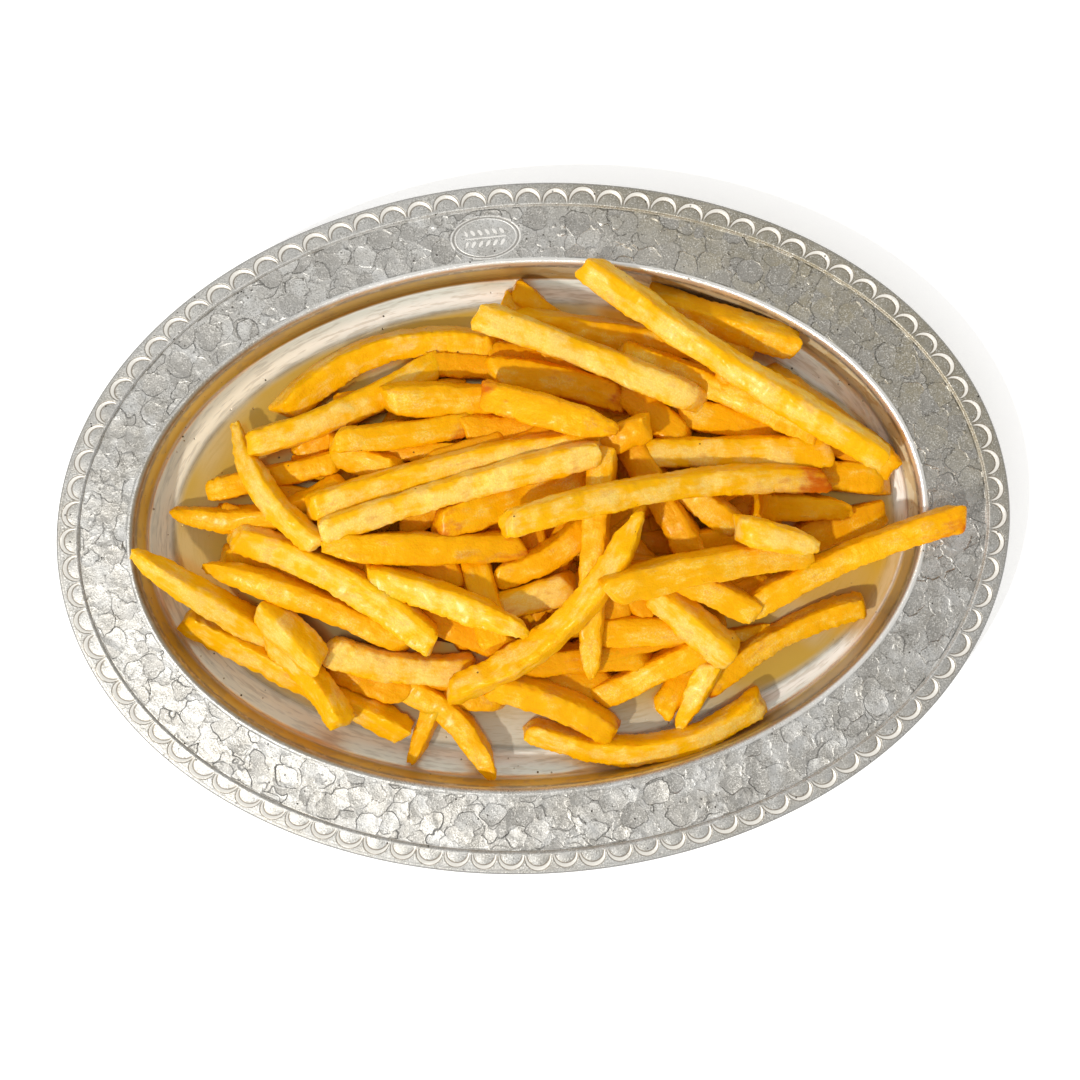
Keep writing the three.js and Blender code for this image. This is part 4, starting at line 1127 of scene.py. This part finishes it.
def heap():
    kinds = {
        "fries_pale": ((0.90, 0.60, 0.13), (0.89, 0.45, 0.001), CRUST_BROWN),
        "fries_golden": ((0.90, 0.56, 0.055), (0.88, 0.42, 0.001), CRUST_BROWN),
        "fries_deep": ((0.87, 0.475, 0.004), (0.82, 0.36, 0.001), CRUST_BROWN),
    }
    batches = {name: Batch() for name in (*kinds, "fries_under")}
    for number, (ends, side, roll, tone, first, last, *points) in enumerate(FRIES):
        heights, distance = settle(points, side, roll)
        raise_heap(points, side, roll, heights, distance)
        form = fry_form(ends, side, roll, points, heights, distance, 100 + number)
        kind = "fries_pale" if tone > 0.62 else "fries_golden" if tone > 0.36 else "fries_deep"
        batches[kind].add(form, tone, (first, last))
    for number, (points, side, roll, heights, distance) in enumerate(hidden_fries()):
        form = fry_form("cc", side, roll, points, heights, distance, 900 + number, 2.0, 4)
        batches["fries_under"].add(form, 0.35, (0, 0))
    pieces = [batches[name].piece(name, fry_material(name, *colours)) for name, colours in kinds.items()]
    under = fry_material("fries_under", (0.84, 0.44, 0.004), (0.80, 0.33, 0.001), CRUST_BROWN)
    pieces.append(batches["fries_under"].piece("fries_under", under))
    pieces.append(core_piece())
    return pieces


# ---------------------------------------------------------------- stage, light and camera


def stage():
    size = 3000
    corners = np.array([(-size, -size, 0), (size, -size, 0), (size, size, 0), (-size, size, 0)])
    pale = plain_material("floor", (0.97, 0.97, 0.97), 0.9, FLOOR_GLOW)
    floor = make_piece("floor", corners, np.array([[0, 1, 2, 3]]), pale)
    floor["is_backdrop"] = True

    world = bpy.data.worlds.new("sky")
    bpy.context.scene.world = world
    world.use_nodes = True
    nodes, links = world.node_tree.nodes, world.node_tree.links
    way = nodes.new("ShaderNodeTexCoord").outputs["Generated"]
    height = nodes.new("ShaderNodeSeparateXYZ")
    links.new(way, height.inputs[0])
    towards = nodes.new("ShaderNodeVectorMath")
    towards.operation = "DOT_PRODUCT"
    towards.inputs[1].default_value = GLOW_FROM
    links.new(way, towards.inputs[0])
    strengths = (
        (height.outputs["Z"], (0.25, 0.85), (0.76, 0.58)),
        (height.outputs["Z"], (0.85, 1.0), (0.0, -0.20)),
        (height.outputs["Y"], (0.0, 0.5), (0.0, 0.16)),
        (towards.outputs["Value"], (0.7, 1.0), (0.0, 0.24)),
        (towards.outputs["Value"], (-0.7, 0.5), (-0.20, 0.0)),
    )
    total = None
    for source, between, levels in strengths:
        ramp = nodes.new("ShaderNodeMapRange")
        ramp.inputs["From Min"].default_value, ramp.inputs["From Max"].default_value = between
        ramp.inputs["To Min"].default_value, ramp.inputs["To Max"].default_value = levels
        links.new(source, ramp.inputs["Value"])
        level = nodes.new("ShaderNodeMath")
        links.new(ramp.outputs["Result"], level.inputs[0])
        level.inputs[1].default_value = 0
        if total is not None:
            links.new(total, level.inputs[1])
        total = level.outputs[0]
    links.new(total, nodes["Background"].inputs["Strength"])
    nodes["Background"].inputs["Color"].default_value = (1.0, 0.985, 0.96, 1)

    key = bpy.data.objects.new("key", bpy.data.lights.new("key", "SUN"))
    key.data.energy = 2.0
    key.data.angle = math.radians(2.5)
    key.data.color = (1.0, 0.97, 0.92)
    key.rotation_euler = LIGHT_FROM.to_track_quat("Z", "Y").to_euler()
    bpy.context.scene.collection.objects.link(key)


def camera():
    made = bpy.data.objects.new("camera", bpy.data.cameras.new("camera"))
    made.data.sensor_width = SENSOR
    made.data.lens = SENSOR * CAMERA_HEIGHT / VIEW_WIDTH
    made.data.clip_start = 0.01
    made.location = (CAMERA_OVER[0] * MM, CAMERA_OVER[1] * MM, (CAMERA_HEIGHT + 15) * MM)
    made.rotation_euler = (0, 0, math.radians(CAMERA_TURN))
    bpy.context.scene.collection.objects.link(made)
    bpy.context.scene.camera = made


for piece in [platter(), *heap()]:
    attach(piece, "root")
stage()
camera()
bpy.context.scene.view_settings.view_transform = "Standard"


def plain(bounds):
    return json.loads(json.dumps(bounds, default=lambda value: [float(number) for number in value]))


{"before": plain(bounds_at_start), "after": plain(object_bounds())}
